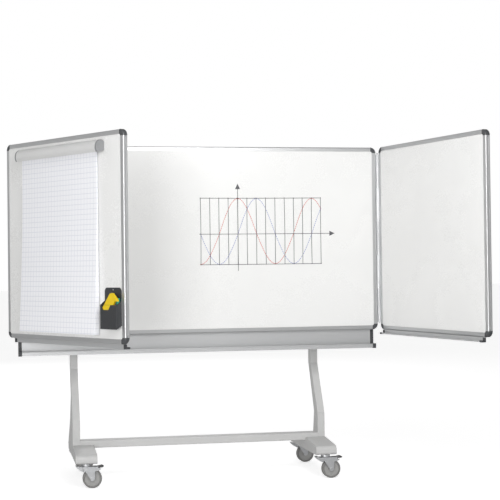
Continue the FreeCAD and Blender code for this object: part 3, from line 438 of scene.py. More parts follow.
ZINC = Finish(
    "zinc_plate", (0.68, 0.69, 0.70), (0.56, 0.57, 0.59), 0.26, 0.44,
    metallic=1.0, blotch=60.0, grain=1500.0, bump=0.08, soil=0.15,
)
PIN_STEEL = Finish(
    "pin_steel", (0.32, 0.33, 0.34), (0.22, 0.23, 0.24), 0.25, 0.4,
    metallic=1.0, blotch=60.0, grain=1500.0, bump=0.05,
)
WHEEL_PLASTIC = Finish(
    "wheel_plastic", (0.42, 0.42, 0.415), (0.36, 0.36, 0.355), 0.42, 0.58,
    blotch=40.0, grain=1800.0, bump=0.2, soil=0.35,
)
TREAD = Finish(
    "tread_rubber", (0.20, 0.20, 0.20), (0.15, 0.15, 0.15), 0.55, 0.75,
    blotch=50.0, grain=1600.0, bump=0.4, soil=0.45,
)
PEDAL_PLASTIC = Finish(
    "pedal_plastic", (0.03, 0.03, 0.033), (0.06, 0.06, 0.064), 0.4, 0.6,
    blotch=60.0, grain=1800.0, bump=0.4, soil=0.2,
)
PAPER = Finish(
    "pad_paper", (0.93, 0.935, 0.965), (0.90, 0.905, 0.935), 0.75, 0.9,
    blotch=3.0, grain=1500.0, bump=0.12, ruled=True,
)
HOLDER_PLASTIC = Finish(
    "holder_plastic", (0.022, 0.024, 0.027), (0.045, 0.047, 0.05), 0.34, 0.5,
    blotch=30.0, grain=2800.0, bump=0.3,
)
ERASER_PLASTIC = Finish(
    "eraser_plastic", (0.86, 0.62, 0.005), (0.76, 0.52, 0.004), 0.36, 0.5,
    blotch=25.0, grain=1600.0, bump=0.1,
)
FELT = Finish(
    "eraser_felt", (0.05, 0.05, 0.055), (0.025, 0.025, 0.03), 0.85, 1.0,
    blotch=120.0, grain=2400.0, bump=0.9, sheen=0.4,
)
MARKER_BARREL = Finish(
    "marker_barrel", (0.82, 0.82, 0.82), (0.76, 0.76, 0.76), 0.2, 0.32,
    blotch=30.0, grain=1200.0, bump=0.03, coat=0.4,
)
GREEN_PLASTIC = Finish(
    "green_cap", (0.0, 0.30, 0.19), (0.0, 0.24, 0.15), 0.22, 0.35, blotch=30.0, bump=0.04, coat=0.4
)
BLACK_PLASTIC = Finish(
    "black_cap", (0.015, 0.015, 0.017), (0.03, 0.03, 0.032), 0.22, 0.35,
    blotch=30.0, bump=0.04, coat=0.4
)
BLACK_INK = Finish(
    "black_ink", (0.05, 0.05, 0.055), (0.14, 0.14, 0.15), 0.45, 0.6, blotch=90.0, bump=0.05,
)
RED_INK = Finish(
    "red_ink", (0.55, 0.05, 0.035), (0.62, 0.13, 0.10), 0.45, 0.6, blotch=90.0, bump=0.05,
)
BLUE_INK = Finish(
    "blue_ink", (0.09, 0.12, 0.42), (0.20, 0.24, 0.52), 0.45, 0.6, blotch=90.0, bump=0.05,
)
FLOOR = Finish(
    "studio_floor", (0.78, 0.78, 0.78), (0.76, 0.76, 0.76), 0.8, 0.95,
    blotch=0.4, grain=20.0, bump=0.0, glow=0.62,
)


class Palette:
    """Materials built once for each finish and angle."""

    def __init__(self) -> None:
        """Builds the shared groups."""
        self.groups = ShaderGroups()
        self.made: dict[tuple[str, float], bpy.types.Material] = {}

    def get(self, finish: Finish, turn: float = 0.0) -> bpy.types.Material:
        """The material of a finish.

        Args:
            finish: The finish.
            turn: Angle in degrees of its surface about the upright axis.

        Returns:
            The material.
        """
        key = (finish.name, turn)
        if key not in self.made:
            self.made[key] = finish.build(self.groups, turn)
        return self.made[key]

    def dress(self, obj: bpy.types.Object, finish: Finish, turn: float = 0.0) -> None:
        """Gives an object one finish.

        Args:
            obj: The object.
            finish: Its finish.
            turn: Angle in degrees of its surface about the upright axis.
        """
        obj.data.materials.clear()
        obj.data.materials.append(self.get(finish, turn))


# ---- meshes ----------------------------------------------------------------------


def new_object(name: str, mesh: bpy.types.Mesh) -> bpy.types.Object:
    """Object at the origin that shows a mesh."""
    made = bpy.data.objects.new(name, mesh)
    bpy.context.scene.collection.objects.link(made)
    return made


def from_bmesh(
    name: str, source: bmesh.types.BMesh, turn: Matrix | None = None,
) -> bpy.types.Object:
    """Object from a bmesh, with its place in its mesh.

    Args:
        name: The object's name.
        source: The geometry, which is freed.
        turn: Where it goes.

    Returns:
        The object.
    """
    if turn is not None:
        source.transform(turn)
    bmesh.ops.recalc_face_normals(source, faces=source.faces)
    mesh = bpy.data.meshes.new(name)
    source.to_mesh(mesh)
    source.free()
    return new_object(name, mesh)


def strand(name: str, lines: Sequence[Sequence[Vector]]) -> bpy.types.Object:
    """Object of bare edges that a tree follows.

    Args:
        name: The object's name.
        lines: Points of each line.

    Returns:
        The object.
    """
    verts: list[Vector] = []
    edges: list[tuple[int, int]] = []
    for line in lines:
        first = len(verts)
        verts.extend(line)
        edges.extend((i, i + 1) for i in range(first, first + len(line) - 1))
    mesh = bpy.data.meshes.new(name)
    mesh.from_pydata([tuple(v) for v in verts], edges, [])
    return new_object(name, mesh)


def grown(
    obj: bpy.types.Object,
    kit: GroupKit,
    values: dict[str, object],
    turn: Matrix | None = None,
) -> bpy.types.Object:
    """Runs a geometry tree on an object and keeps the result as a plain mesh.

    Args:
        obj: The object that the tree works on.
        kit: The tree.
        values: Value of each named input.
        turn: Where the result goes.

    Returns:
        The same object.
    """
    modifier = obj.modifiers.new(kit.tree.name, "NODES")
    modifier.node_group = kit.tree
    for name, value in values.items():
        modifier[kit.ids[name]] = value
    graph = bpy.context.evaluated_depsgraph_get()
    mesh = bpy.data.meshes.new_from_object(obj.evaluated_get(graph))
    obj.modifiers.clear()
    obj.data = mesh
    if turn is not None:
        mesh.transform(turn)
    return obj


def finished_tree(kit: GroupKit, geometry: bpy.types.NodeSocket) -> None:
    """Ends a tree with real geometry and its material.

    Args:
        kit: The tree.
        geometry: Its instances.
    """
    real = kit.node("GeometryNodeRealizeInstances")
    paint = kit.node("GeometryNodeSetMaterial")
    kit.link(geometry, real.inputs[0])
    kit.link(real.outputs[0], paint.inputs["Geometry"])
    kit.link(kit.source.outputs["Material"], paint.inputs["Material"])
    kit.link(paint.outputs[0], kit.sink.inputs["Geometry"])


def dash_tree() -> GroupKit:
    """Tree that lays small bars end to end along the input's edges.

    Returns:
        The tree, with the inputs Pitch, Bar and Material.
    """
    kit = GroupKit("dashes_along_lines", "GeometryNodeTree")
    kit.takes("Geometry", "NodeSocketGeometry")
    kit.takes("Pitch", "NodeSocketFloat", 0.01)
    kit.takes("Bar", "NodeSocketVector", (0.01, 0.003, 0.0002))
    kit.takes("Material", "NodeSocketMaterial")
    kit.gives("Geometry", "NodeSocketGeometry")
    curve = kit.node("GeometryNodeMeshToCurve")
    even = kit.node("GeometryNodeResampleCurve", mode="LENGTH")
    bar = kit.node("GeometryNodeMeshCube")
    along = kit.node("GeometryNodeInputTangent")
    aim = kit.node("FunctionNodeAlignRotationToVector", axis="X")
    spread = kit.node("GeometryNodeInstanceOnPoints")
    kit.link(kit.source.outputs["Geometry"], curve.inputs[0])
    kit.link(curve.outputs[0], even.inputs["Curve"])
    kit.link(kit.source.outputs["Pitch"], even.inputs["Length"])
    kit.link(even.outputs[0], spread.inputs["Points"])
    kit.link(kit.source.outputs["Bar"], bar.inputs["Size"])
    kit.link(bar.outputs["Mesh"], spread.inputs["Instance"])
    kit.link(along.outputs[0], aim.inputs["Vector"])
    kit.link(aim.outputs[0], spread.inputs["Rotation"])
    finished_tree(kit, spread.outputs[0])
    return kit


def copies_tree() -> GroupKit:
    """Tree that puts a small part on each point of the input.

    Returns:
        The tree, with the inputs Part and Material.
    """
    kit = GroupKit("part_on_points", "GeometryNodeTree")
    kit.takes("Geometry", "NodeSocketGeometry")
    kit.takes("Part", "NodeSocketObject")
    kit.takes("Material", "NodeSocketMaterial")
    kit.gives("Geometry", "NodeSocketGeometry")
    part = kit.node("GeometryNodeObjectInfo")
    spread = kit.node("GeometryNodeInstanceOnPoints")
    kit.link(kit.source.outputs["Part"], part.inputs["Object"])
    kit.link(kit.source.outputs["Geometry"], spread.inputs["Points"])
    kit.link(part.outputs["Geometry"], spread.inputs["Instance"])
    finished_tree(kit, spread.outputs[0])
    return kit


def sheets_tree() -> GroupKit:
    """Tree that stacks sheets of paper, each a little out of line, curled at the foot.

    Returns:
        The tree, with its sizes as inputs.
    """
    kit = GroupKit("stack_of_sheets", "GeometryNodeTree")
    kit.takes("Geometry", "NodeSocketGeometry")
    kit.takes("Count", "NodeSocketInt", 12)
    kit.takes("Sheet", "NodeSocketVector", (0.65, 0.0004, 0.9))
    kit.takes("Step", "NodeSocketVector", (0.0, 0.0005, 0.0))
    kit.takes("Slip", "NodeSocketFloat", 0.001)
    kit.takes("Curl", "NodeSocketFloat", 0.01)
    kit.takes("Seed", "NodeSocketInt", 3)
    kit.takes("Material", "NodeSocketMaterial")
    kit.gives("Geometry", "NodeSocketGeometry")
    row = kit.node("GeometryNodeMeshLine", mode="OFFSET")
    sheet = kit.node("GeometryNodeMeshCube")
    sheet.inputs["Vertices X"].default_value = 9
    sheet.inputs["Vertices Z"].default_value = 41
    spread = kit.node("GeometryNodeInstanceOnPoints")
    slip = kit.node("FunctionNodeRandomValue", data_type="FLOAT_VECTOR")
    least = kit.node("ShaderNodeCombineXYZ")
    most = kit.node("ShaderNodeCombineXYZ")
    minus = kit.node("ShaderNodeMath", operation="MULTIPLY")
    minus.inputs[1].default_value = -1.0
    shift = kit.node("GeometryNodeTranslateInstances")
    kit.link(kit.source.outputs["Count"], row.inputs["Count"])
    kit.link(kit.source.outputs["Step"], row.inputs["Offset"])
    kit.link(kit.source.outputs["Sheet"], sheet.inputs["Size"])
    kit.link(row.outputs[0], spread.inputs["Points"])
    kit.link(sheet.outputs["Mesh"], spread.inputs["Instance"])
    kit.link(kit.source.outputs["Slip"], minus.inputs[0])
    kit.link(minus.outputs[0], least.inputs["X"])
    kit.link(minus.outputs[0], least.inputs["Z"])
    kit.link(kit.source.outputs["Slip"], most.inputs["X"])
    kit.link(kit.source.outputs["Slip"], most.inputs["Z"])
    kit.link(least.outputs[0], slip.inputs["Min"])
    kit.link(most.outputs[0], slip.inputs["Max"])
    kit.link(kit.source.outputs["Seed"], slip.inputs["Seed"])
    kit.link(spread.outputs[0], shift.inputs["Instances"])
    kit.link(slip.outputs["Value"], shift.inputs["Translation"])
    real = kit.node("GeometryNodeRealizeInstances")
    kit.link(shift.outputs[0], real.inputs[0])
    curled = sheets_curl(kit, real.outputs[0])
    finished_tree(kit, curled)
    return kit


def sheets_curl(kit: GroupKit, geometry: bpy.types.NodeSocket) -> bpy.types.NodeSocket:
    """Lifts the foot of the sheets outwards, the outer sheets most.

    Args:
        kit: The tree.
        geometry: The flat sheets.

    Returns:
        The curled sheets.
    """
    where = kit.node("GeometryNodeInputPosition")
    split = kit.node("ShaderNodeSeparateXYZ")
    foot = kit.node("ShaderNodeMapRange")
    foot.inputs["From Min"].default_value = 0.30
    foot.inputs["From Max"].default_value = -0.447
    outer = kit.node("ShaderNodeMapRange")
    outer.inputs["From Min"].default_value = 0.0
    outer.inputs["From Max"].default_value = 0.006
    eased = kit.node("ShaderNodeMath", operation="POWER")
    eased.inputs[1].default_value = 1.7
    both = kit.node("ShaderNodeMath", operation="MULTIPLY")
    lift = kit.node("ShaderNodeMath", operation="MULTIPLY")
    offset = kit.node("ShaderNodeCombineXYZ")
    move = kit.node("GeometryNodeSetPosition")
    kit.link(where.outputs[0], split.inputs[0])
    kit.link(split.outputs["Z"], foot.inputs["Value"])
    kit.link(split.outputs["Y"], outer.inputs["Value"])
    kit.link(foot.outputs[0], eased.inputs[0])
    kit.link(eased.outputs[0], both.inputs[0])
    kit.link(outer.outputs[0], both.inputs[1])
    kit.link(both.outputs[0], lift.inputs[0])
    kit.link(kit.source.outputs["Curl"], lift.inputs[1])
    kit.link(lift.outputs[0], offset.inputs["Y"])
    kit.link(geometry, move.inputs["Geometry"])
    kit.link(offset.outputs[0], move.inputs["Offset"])
    return move.outputs[0]


# ---- sub-assemblies ----------------------------------------------------------------


class Wing(Enum):
    """The two hinged wings."""

    LEFT = "left"
    RIGHT = "right"

    @property
    def joint(self) -> str:
        """Name of the wing's hinge."""
        return f"{self.value}_wing_swing"

    @property
    def body(self) -> str:
        """Name of the wing's body."""
        return f"wing_{self.value}"


@dataclass
class WingPlace:
    """Where a wing stands, and its own coordinates with the wing flat open."""

    wing: Wing
    frame: dict
    pivot: Vector = field(init=False)
    turn: float = field(init=False)

    def __post_init__(self) -> None:
        """Reads the hinge from the record."""
        joints = self.frame["record"]["behaviour"]["joints"]
        found = next(j for j in joints if j["name"] == self.wing.joint)
        self.pivot = Vector((found["pos_m"][0], found["pos_m"][1], 0.0))
        limit = 0 if self.wing is Wing.LEFT else 1
        self.turn = -found["range_deg"][limit]

    @property
    def matrix(self) -> Matrix:
        """Takes the wing's own coordinates to the object's."""
        spin = Matrix.Rotation(math.radians(self.turn), 4, "Z")
        return Matrix.Translation(self.pivot) @ spin

    def own_box(self, node: str) -> tuple[Vector, Vector]:
        """Lowest and highest corner of a CAD node in the wing's own coordinates.

        Args:
            node: The CAD node.

        Returns:
            The two corners.
        """
        back = self.matrix.inverted()
        points = [back @ v.co for v in self.frame["nodes"][node].data.vertices]
        low = Vector([min(p[i] for p in points) for i in range(3)])
        high = Vector([max(p[i] for p in points) for i in range(3)])
        return low, high


@dataclass
class Boards:
    """Frames, panels, trays and hinges of the three boards."""

    frame: dict
    palette: Palette
    places: dict[Wing, WingPlace]
    groove_depth: float = 1.6 * MM
    screw_from_end: float = 35.5 * MM
    screw_radius: float = 2.5 * MM

    def finishes(self, prefix: str) -> dict[str, Finish]:
        """Finish of each node of one board."""
        return {
            f"{prefix}_core": CORE,
            f"{prefix}_sheets": ENAMEL,
            f"{prefix}_frame": FRAME_ALLOY,
            f"{prefix}_corners": CORNER_PLASTIC,
            f"{prefix}_tray": TRAY_ALLOY,
            f"{prefix}_tray_caps": CAP_PLASTIC,
        }

    def dress(self) -> None:
        """Gives every board node its finish, in line with its own board."""
        turns = {"centre": 0.0}
        turns.update({w.value: p.turn for w, p in self.places.items()})
        for prefix, turn in turns.items():
            for node, finish in self.finishes(prefix).items():
                self.palette.dress(self.frame["nodes"][node], finish, turn)
        for node in ("centre_hinge_leaves", "left_hinge_leaf", "right_hinge_leaf"):
            self.palette.dress(self.frame["nodes"][node], HINGE_ALLOY)
        self.palette.dress(self.frame["nodes"]["hinge_pins"], PIN_STEEL)

    def screw(self) -> bpy.types.Object:
        """Small countersunk screw with a cross recess, its axis along X."""
        shape = bmesh.new()
        rings = ((0.0, 0.4), (0.35, 0.9), (1.0, 1.0), (1.0, 0.0))
        sides = 16
        loops = []
        for radius, height in rings[1:]:
            loop = []
            for i in range(sides):
                angle = math.tau * i / sides
                reach = radius * self.screw_radius
                if radius < 1.0 and i % 4:
                    reach *= 0.45
                loop.append(shape.verts.new((
                    height * MM, reach * math.cos(angle), reach * math.sin(angle)
                )))
            loops.append(loop)
        for inner, outer in zip(loops, loops[1:]):
            for i in range(sides):
                j = (i + 1) % sides
                shape.faces.new((inner[i], inner[j], outer[j], outer[i]))
        deep = shape.verts.new((rings[0][1] * MM, 0.0, 0.0))
        back = shape.verts.new((0.0, 0.0, 0.0))
        for i in range(sides):
            j = (i + 1) % sides
            shape.faces.new((loops[0][j], loops[0][i], deep))
            shape.faces.new((loops[-1][i], loops[-1][j], back))
        return from_bmesh("screw_pattern", shape)

    def screws(self, tree: GroupKit) -> list[bpy.types.Object]:
        """Screws in the grooves of the upright rails, next to the corner pieces.

        Args:
            tree: The tree that puts a part on points.

        Returns:
            One piece for each board.
        """
        head = self.screw()
        made = []
        low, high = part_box("centre_frame")
        places = [("corner_screws_centre", "stand", Matrix.Identity(4), low, high)]
        for wing, place in self.places.items():
            corners = place.own_box(f"{wing.value}_frame")
            places.append((f"corner_screws_{wing.value}", wing.body, place.matrix, *corners))
        for name, body, matrix, low, high in places:
            mid = (low.y + high.y) / 2
            spots = [
                Vector((x, mid, z))
                for x in (low.x + self.groove_depth - 0.6 * MM, high.x - self.groove_depth - 0.4 * MM)
                for z in (low.z + self.screw_from_end, high.z - self.screw_from_end)
            ]
            piece = grown(
                strand(name, [[s] for s in spots]), tree,
                {"Part": head, "Material": self.palette.get(PIN_STEEL)}, matrix,
            )
            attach(piece, body)
            made.append(piece)
        bpy.data.objects.remove(head)
        return made


@dataclass
class InkGraph:
    """A hand-drawn graph in marker ink on the centre board."""

    palette: Palette
    left: float = 6.0 * MM
    right: float = 680.0 * MM
    low: float = 1150.0 * MM
    high: float = 1512.0 * MM
    steps: int = 13
    axis_step: int = 4
    axis_z: float = 1316.0 * MM
    axis_x_end: float = 728.0 * MM
    axis_z_start: float = 1118.0 * MM
    axis_z_end: float = 1561.0 * MM
    line: float = 3.1 * MM
    skin: float = 0.25 * MM

    def face(self) -> float:
        """Y of the ink, just ahead of the writing side."""
        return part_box("centre_sheets")[0].y - 0.6 * self.skin

    def point(self, x: float, z: float) -> Vector:
        """Point of the drawing."""
        return Vector((x, self.face(), z))

    def wavy(self, start: Vector, end: Vector, chance: random.Random) -> list[Vector]:
        """Nearly straight line, as a hand draws it.

        Args:
            start: First point.
            end: Last point.
            chance: Seeded source of the wobble.

        Returns:
            The line's points.
        """
        count = 9
        along = end - start
        side = Vector((-along.z, 0.0, along.x)).normalized()
        bow = chance.uniform(-1.0, 1.0) * 1.6 * MM
        return [
            start + along * (i / count) + side * bow * math.sin(math.pi * i / count)
            for i in range(count + 1)
        ]

    def grid(self, chance: random.Random) -> list[list[Vector]]:
        """Box, upright lines and both axes."""
        step = (self.right - self.left) / self.steps
        lines = [
            self.wavy(self.point(self.left, z), self.point(self.right, z), chance)
            for z in (self.low, self.high)
        ]
        for i in range(self.steps + 1):
            x = self.left + i * step + chance.uniform(-1.0, 1.0) * 1.5 * MM
            lines.append(self.wavy(self.point(x, self.low), self.point(x, self.high), chance))
        x = self.left + self.axis_step * step
        foot, top = self.point(x, self.axis_z_start), self.point(x, self.axis_z_end)
        lines.append(self.wavy(foot, top, chance))
        lines.append(self.wavy(
            self.point(self.left - 4 * MM, self.axis_z), self.point(self.axis_x_end, self.axis_z), chance
        ))
        return lines

    def wave(self, lead: float) -> list[Vector]:
        """One curve of the graph.

        Args:
            lead: How far ahead of the upright axis its top is, in steps.

        Returns:
            The curve's points.
        """
        step = (self.right - self.left) / self.steps
        points = []
        count = 150
        for i in range(count + 1):
            at = self.steps * i / count
            value = math.cos((at - self.axis_step - lead) * math.pi / 4)
            reach = self.high - self.axis_z if value > 0 else self.axis_z - self.low
            points.append(self.point(self.left + at * step, self.axis_z + value * reach * 0.985))
        return points

    def arrows(self) -> bpy.types.Object:
        """Filled arrow heads at the ends of both axes."""
        shape = bmesh.new()
        step = (self.right - self.left) / self.steps
        x = self.left + self.axis_step * step
        half = 14.0 * MM
        long = 30.0 * MM
        heads = (
            [(x - half, self.axis_z_end), (x + half, self.axis_z_end), (x, self.axis_z_end + long)],
            [
                (self.axis_x_end, self.axis_z - half), (self.axis_x_end + long, self.axis_z),
                (self.axis_x_end, self.axis_z + half),
            ],
        )
        for head in heads:
            front = [shape.verts.new((px, self.face() - self.skin / 2, pz)) for px, pz in head]
            back = [shape.verts.new((px, self.face() + self.skin / 2, pz)) for px, pz in head]
            shape.faces.new(front)
            shape.faces.new(back[::-1])
            for i in range(3):
                j = (i + 1) % 3
                shape.faces.new((front[i], back[i], back[j], front[j]))
        piece = from_bmesh("ink_arrow_heads", shape)
        self.palette.dress(piece, BLACK_INK)
        return piece

    def build(self, tree: GroupKit) -> list[bpy.types.Object]:
        """Builds the drawing.

        Args:
            tree: The tree that lays bars along lines.

        Returns:
            The pieces.
        """
        chance = random.Random(7)
        thick = self.line
        drawn = (
            ("ink_grid", self.grid(chance), BLACK_INK, 5.0 * MM, 5.6 * MM, thick),
            ("ink_cosine", [self.wave(0.0)], RED_INK, 11.0 * MM, 8.4 * MM, thick),
            ("ink_sine", [self.wave(2.0)], BLUE_INK, 11.0 * MM, 7.6 * MM, thick * 0.9),
        )
        made = [self.arrows()]
        for name, lines, ink, pitch, dash, width in drawn:
            bar = (dash, self.skin, width)
            material = self.palette.get(ink)
            piece = grown(
                strand(name, lines), tree, {"Pitch": pitch, "Bar": bar, "Material": material}
            )
            made.append(piece)
        for piece in made:
            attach(piece, "stand")
        return made


@dataclass
class PadClamp:
    """The flip-chart pad in its clamp on the left wing."""

    frame: dict
    palette: Palette
    place: WingPlace
    sheets: int = 13
    slip: float = 0.6 * MM
    curl: float = 26.0 * MM

    def dress(self) -> None:
        """Gives the clamp's nodes their finishes."""
        nodes = self.frame["nodes"]
        turn = self.place.turn
        self.palette.dress(nodes["clamp_base"], CLAMP_ALLOY, turn)
        self.palette.dress(nodes["clamp_cover"], CLAMP_ALLOY, turn)
        self.palette.dress(nodes["clamp_ends"], CLAMP_PLASTIC, turn)
        self.palette.dress(nodes["clamp_pegs"], ZINC)
        self.palette.dress(nodes["flipchart_pad"], PAPER, turn)

    def pad(self, tree: GroupKit) -> bpy.types.Object:
        """Stack of sheets in the place of the CAD's plain pad.

        Args:
            tree: The tree that stacks sheets.

        Returns:
            The piece.
        """
        low, high = self.place.own_box("flipchart_pad")
        size = high - low
        pitch = size.y / self.sheets
        seat = Matrix.Translation((
            (low.x + high.x) / 2, low.y + pitch / 2, (low.z + high.z) / 2
        ))
        values = {
            "Count": self.sheets,
            "Sheet": (size.x - 2 * self.slip, pitch * 0.84, size.z - 2 * self.slip),
            "Step": (0.0, pitch, 0.0),
            "Slip": self.slip,
            "Curl": self.curl,
            "Material": self.palette.get(PAPER, self.place.turn),
        }
        piece = grown(strand("pad_of_sheets", [[Vector()]]), tree, values, self.place.matrix @ seat)
        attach(piece, self.place.wing.body)
        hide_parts("flipchart_pad")
        return piece


@dataclass
class PenBox:
    """The pen box with its wiper and two markers."""

    frame: dict
    palette: Palette
    place: WingPlace
    felt_layers: int = 4
    rib_count: int = 20

    def dress(self) -> None:
        """Gives the box and what is in it their finishes."""
        nodes = self.frame["nodes"]
        turn = self.place.turn
        self.palette.dress(nodes["pen_holder"], HOLDER_PLASTIC, turn)
        self.palette.dress(nodes["eraser_body"], ERASER_PLASTIC, turn)
        self.palette.dress(nodes["marker_green"], MARKER_BARREL)
        self.palette.dress(nodes["marker_black"], MARKER_BARREL)
        self.palette.dress(nodes["marker_green_cap"], GREEN_PLASTIC)
        self.palette.dress(nodes["marker_black_cap"], BLACK_PLASTIC)

    def felt(self) -> bpy.types.Object:
        """Felt of the wiper as a few soft layers with uneven edges."""
        low, high = self.place.own_box("eraser_felt")
        size = high - low
        shape = bmesh.new()
        chance = random.Random(11)
        thick = size.y / self.felt_layers
        inset = 0.4 * MM
        for layer in range(self.felt_layers):
            mid = Vector((
                (low.x + high.x) / 2, low.y + (layer + 0.5) * thick, (low.z + high.z) / 2
            ))
            block = bmesh.ops.create_cube(shape, size=1.0)["verts"]
            for vert in block:
                spread = Vector((size.x - 2 * inset, thick * 0.96, size.z - 2 * inset))
                vert.co = mid + Vector(v * s for v, s in zip(vert.co, spread))
        bmesh.ops.subdivide_edges(shape, edges=shape.edges[:], cuts=5, use_grid_fill=True)
        for vert in shape.verts:
            vert.co += Vector([chance.uniform(-0.25, 0.25) * MM for _ in range(3)])
        piece = from_bmesh("eraser_felt_layers", shape, self.place.matrix)
        self.palette.dress(piece, FELT)
        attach(piece, "eraser")
        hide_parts("eraser_felt")
        return piece

    def ribs(self, tree: GroupKit) -> list[bpy.types.Object]:
        """Grip ribs round both marker caps.

        Args:
            tree: The tree that puts bars along lines.

        Returns:
            One piece for each cap.
        """
        made = []
        finishes = {"green": GREEN_PLASTIC, "black": BLACK_PLASTIC}
        for colour, finish in finishes.items():
            low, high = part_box(f"marker_{colour}_cap")
            mid = (low + high) / 2
            radius = (high.x - low.x) / 2
            lines = []
            for i in range(self.rib_count):
                angle = math.tau * i / self.rib_count
                spot = mid + Vector((radius * math.cos(angle), radius * math.sin(angle), 0.0))
                reach = 0.3 * (high.z - low.z)
                lines.append([spot + Vector((0, 0, -reach)), spot + Vector((0, 0, reach))])
            long = 0.6 * (high.z - low.z)
            piece = grown(strand(f"cap_ribs_{colour}", lines), tree, {
                "Pitch": long / 4, "Bar": (long / 4, 0.5 * MM, 0.5 * MM),
                "Material": self.palette.get(finish),
            })
            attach(piece, f"{colour}_marker_top")
            made.append(piece)
        return made


@dataclass
class Stand:
    """Feet, columns, cross tube and the parts that join them."""

    frame: dict
    palette: Palette

    def dress(self) -> None:
        """Gives the stand's nodes their finishes."""
        finishes = {
            "foot_left": POWDER_COAT, "foot_right": POWDER_COAT,
            "column_left": POWDER_COAT, "column_right": POWDER_COAT,
            "cross_beam": POWDER_COAT, "board_brackets": POWDER_COAT,
            "column_caps": COLUMN_CAP, "stand_fasteners": ZINC, "caster_heads": ZINC,
        }
        for node, finish in finishes.items():
            self.palette.dress(self.frame["nodes"][node], finish)


@dataclass
class Casters:
    """The four braked swivel casters."""

    frame: dict
    palette: Palette
    keys: tuple[str, ...] = ("fl", "fr", "rl", "rr")
    grip_lines: int = 5

    def dress(self) -> None:
        """Gives the casters' nodes their finishes."""
        finishes = {
            "fork": ZINC, "wheel": WHEEL_PLASTIC, "tyre": TREAD, "pedal": PEDAL_PLASTIC,
        }
        for key in self.keys:
            for part, finish in finishes.items():
                self.palette.dress(self.frame["nodes"][f"{part}_{key}"], finish)

    def face_ribs(self, tree: GroupKit) -> list[bpy.types.Object]:
        """Short stiffening ribs on both faces of each wheel's web.

        Args:
            tree: The tree that puts bars along lines.

        Returns:
            One piece for each wheel.
        """
        made = []
        count = 10
        for key in self.keys:
            low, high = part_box(f"wheel_{key}")
            mid = (low + high) / 2
            lines = []
            for side in (-1.0, 1.0):
                for i in range(count):
                    angle = math.tau * (i + 0.5) / count
                    way = Vector((math.cos(angle), 0.0, math.sin(angle)))
                    spot = mid + Vector((0.0, side * 6.3 * MM, 0.0))
                    lines.append([spot + way * 13.5 * MM, spot + way * 35.5 * MM])
            piece = grown(strand(f"wheel_ribs_{key}", lines), tree, {
                "Pitch": 4.4 * MM, "Bar": (4.4 * MM, 1.6 * MM, 1.2 * MM),
                "Material": self.palette.get(WHEEL_PLASTIC),
            })
            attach(piece, f"roller_{key}")
            made.append(piece)
        return made

    def pedal_grips(self, tree: GroupKit) -> list[bpy.types.Object]:
        """Raised grip lines across each pedal's tread.

        Args:
            tree: The tree that puts bars along lines.

        Returns:
            One piece for each pedal.
        """
        made = []
        for key in self.keys:
            low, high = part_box(f"pedal_{key}")
            lines = []
            for i in range(self.grip_lines):
                back = (6.5 + 3.2 * i) * MM
                x = high.x - back
                z = high.z - abs(back - 8.0 * MM) * 0.28 - 0.1 * MM
                lines.append([
                    Vector((x, low.y + 3 * MM, z)), Vector((x, high.y - 3 * MM, z))
                ])
            piece = grown(strand(f"pedal_grips_{key}", lines), tree, {
                "Pitch": 4.8 * MM, "Bar": (4.9 * MM, 1.2 * MM, 1.0 * MM),
                "Material": self.palette.get(PEDAL_PLASTIC),
            })
            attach(piece, f"brake_{key}")
            made.append(piece)
        return made


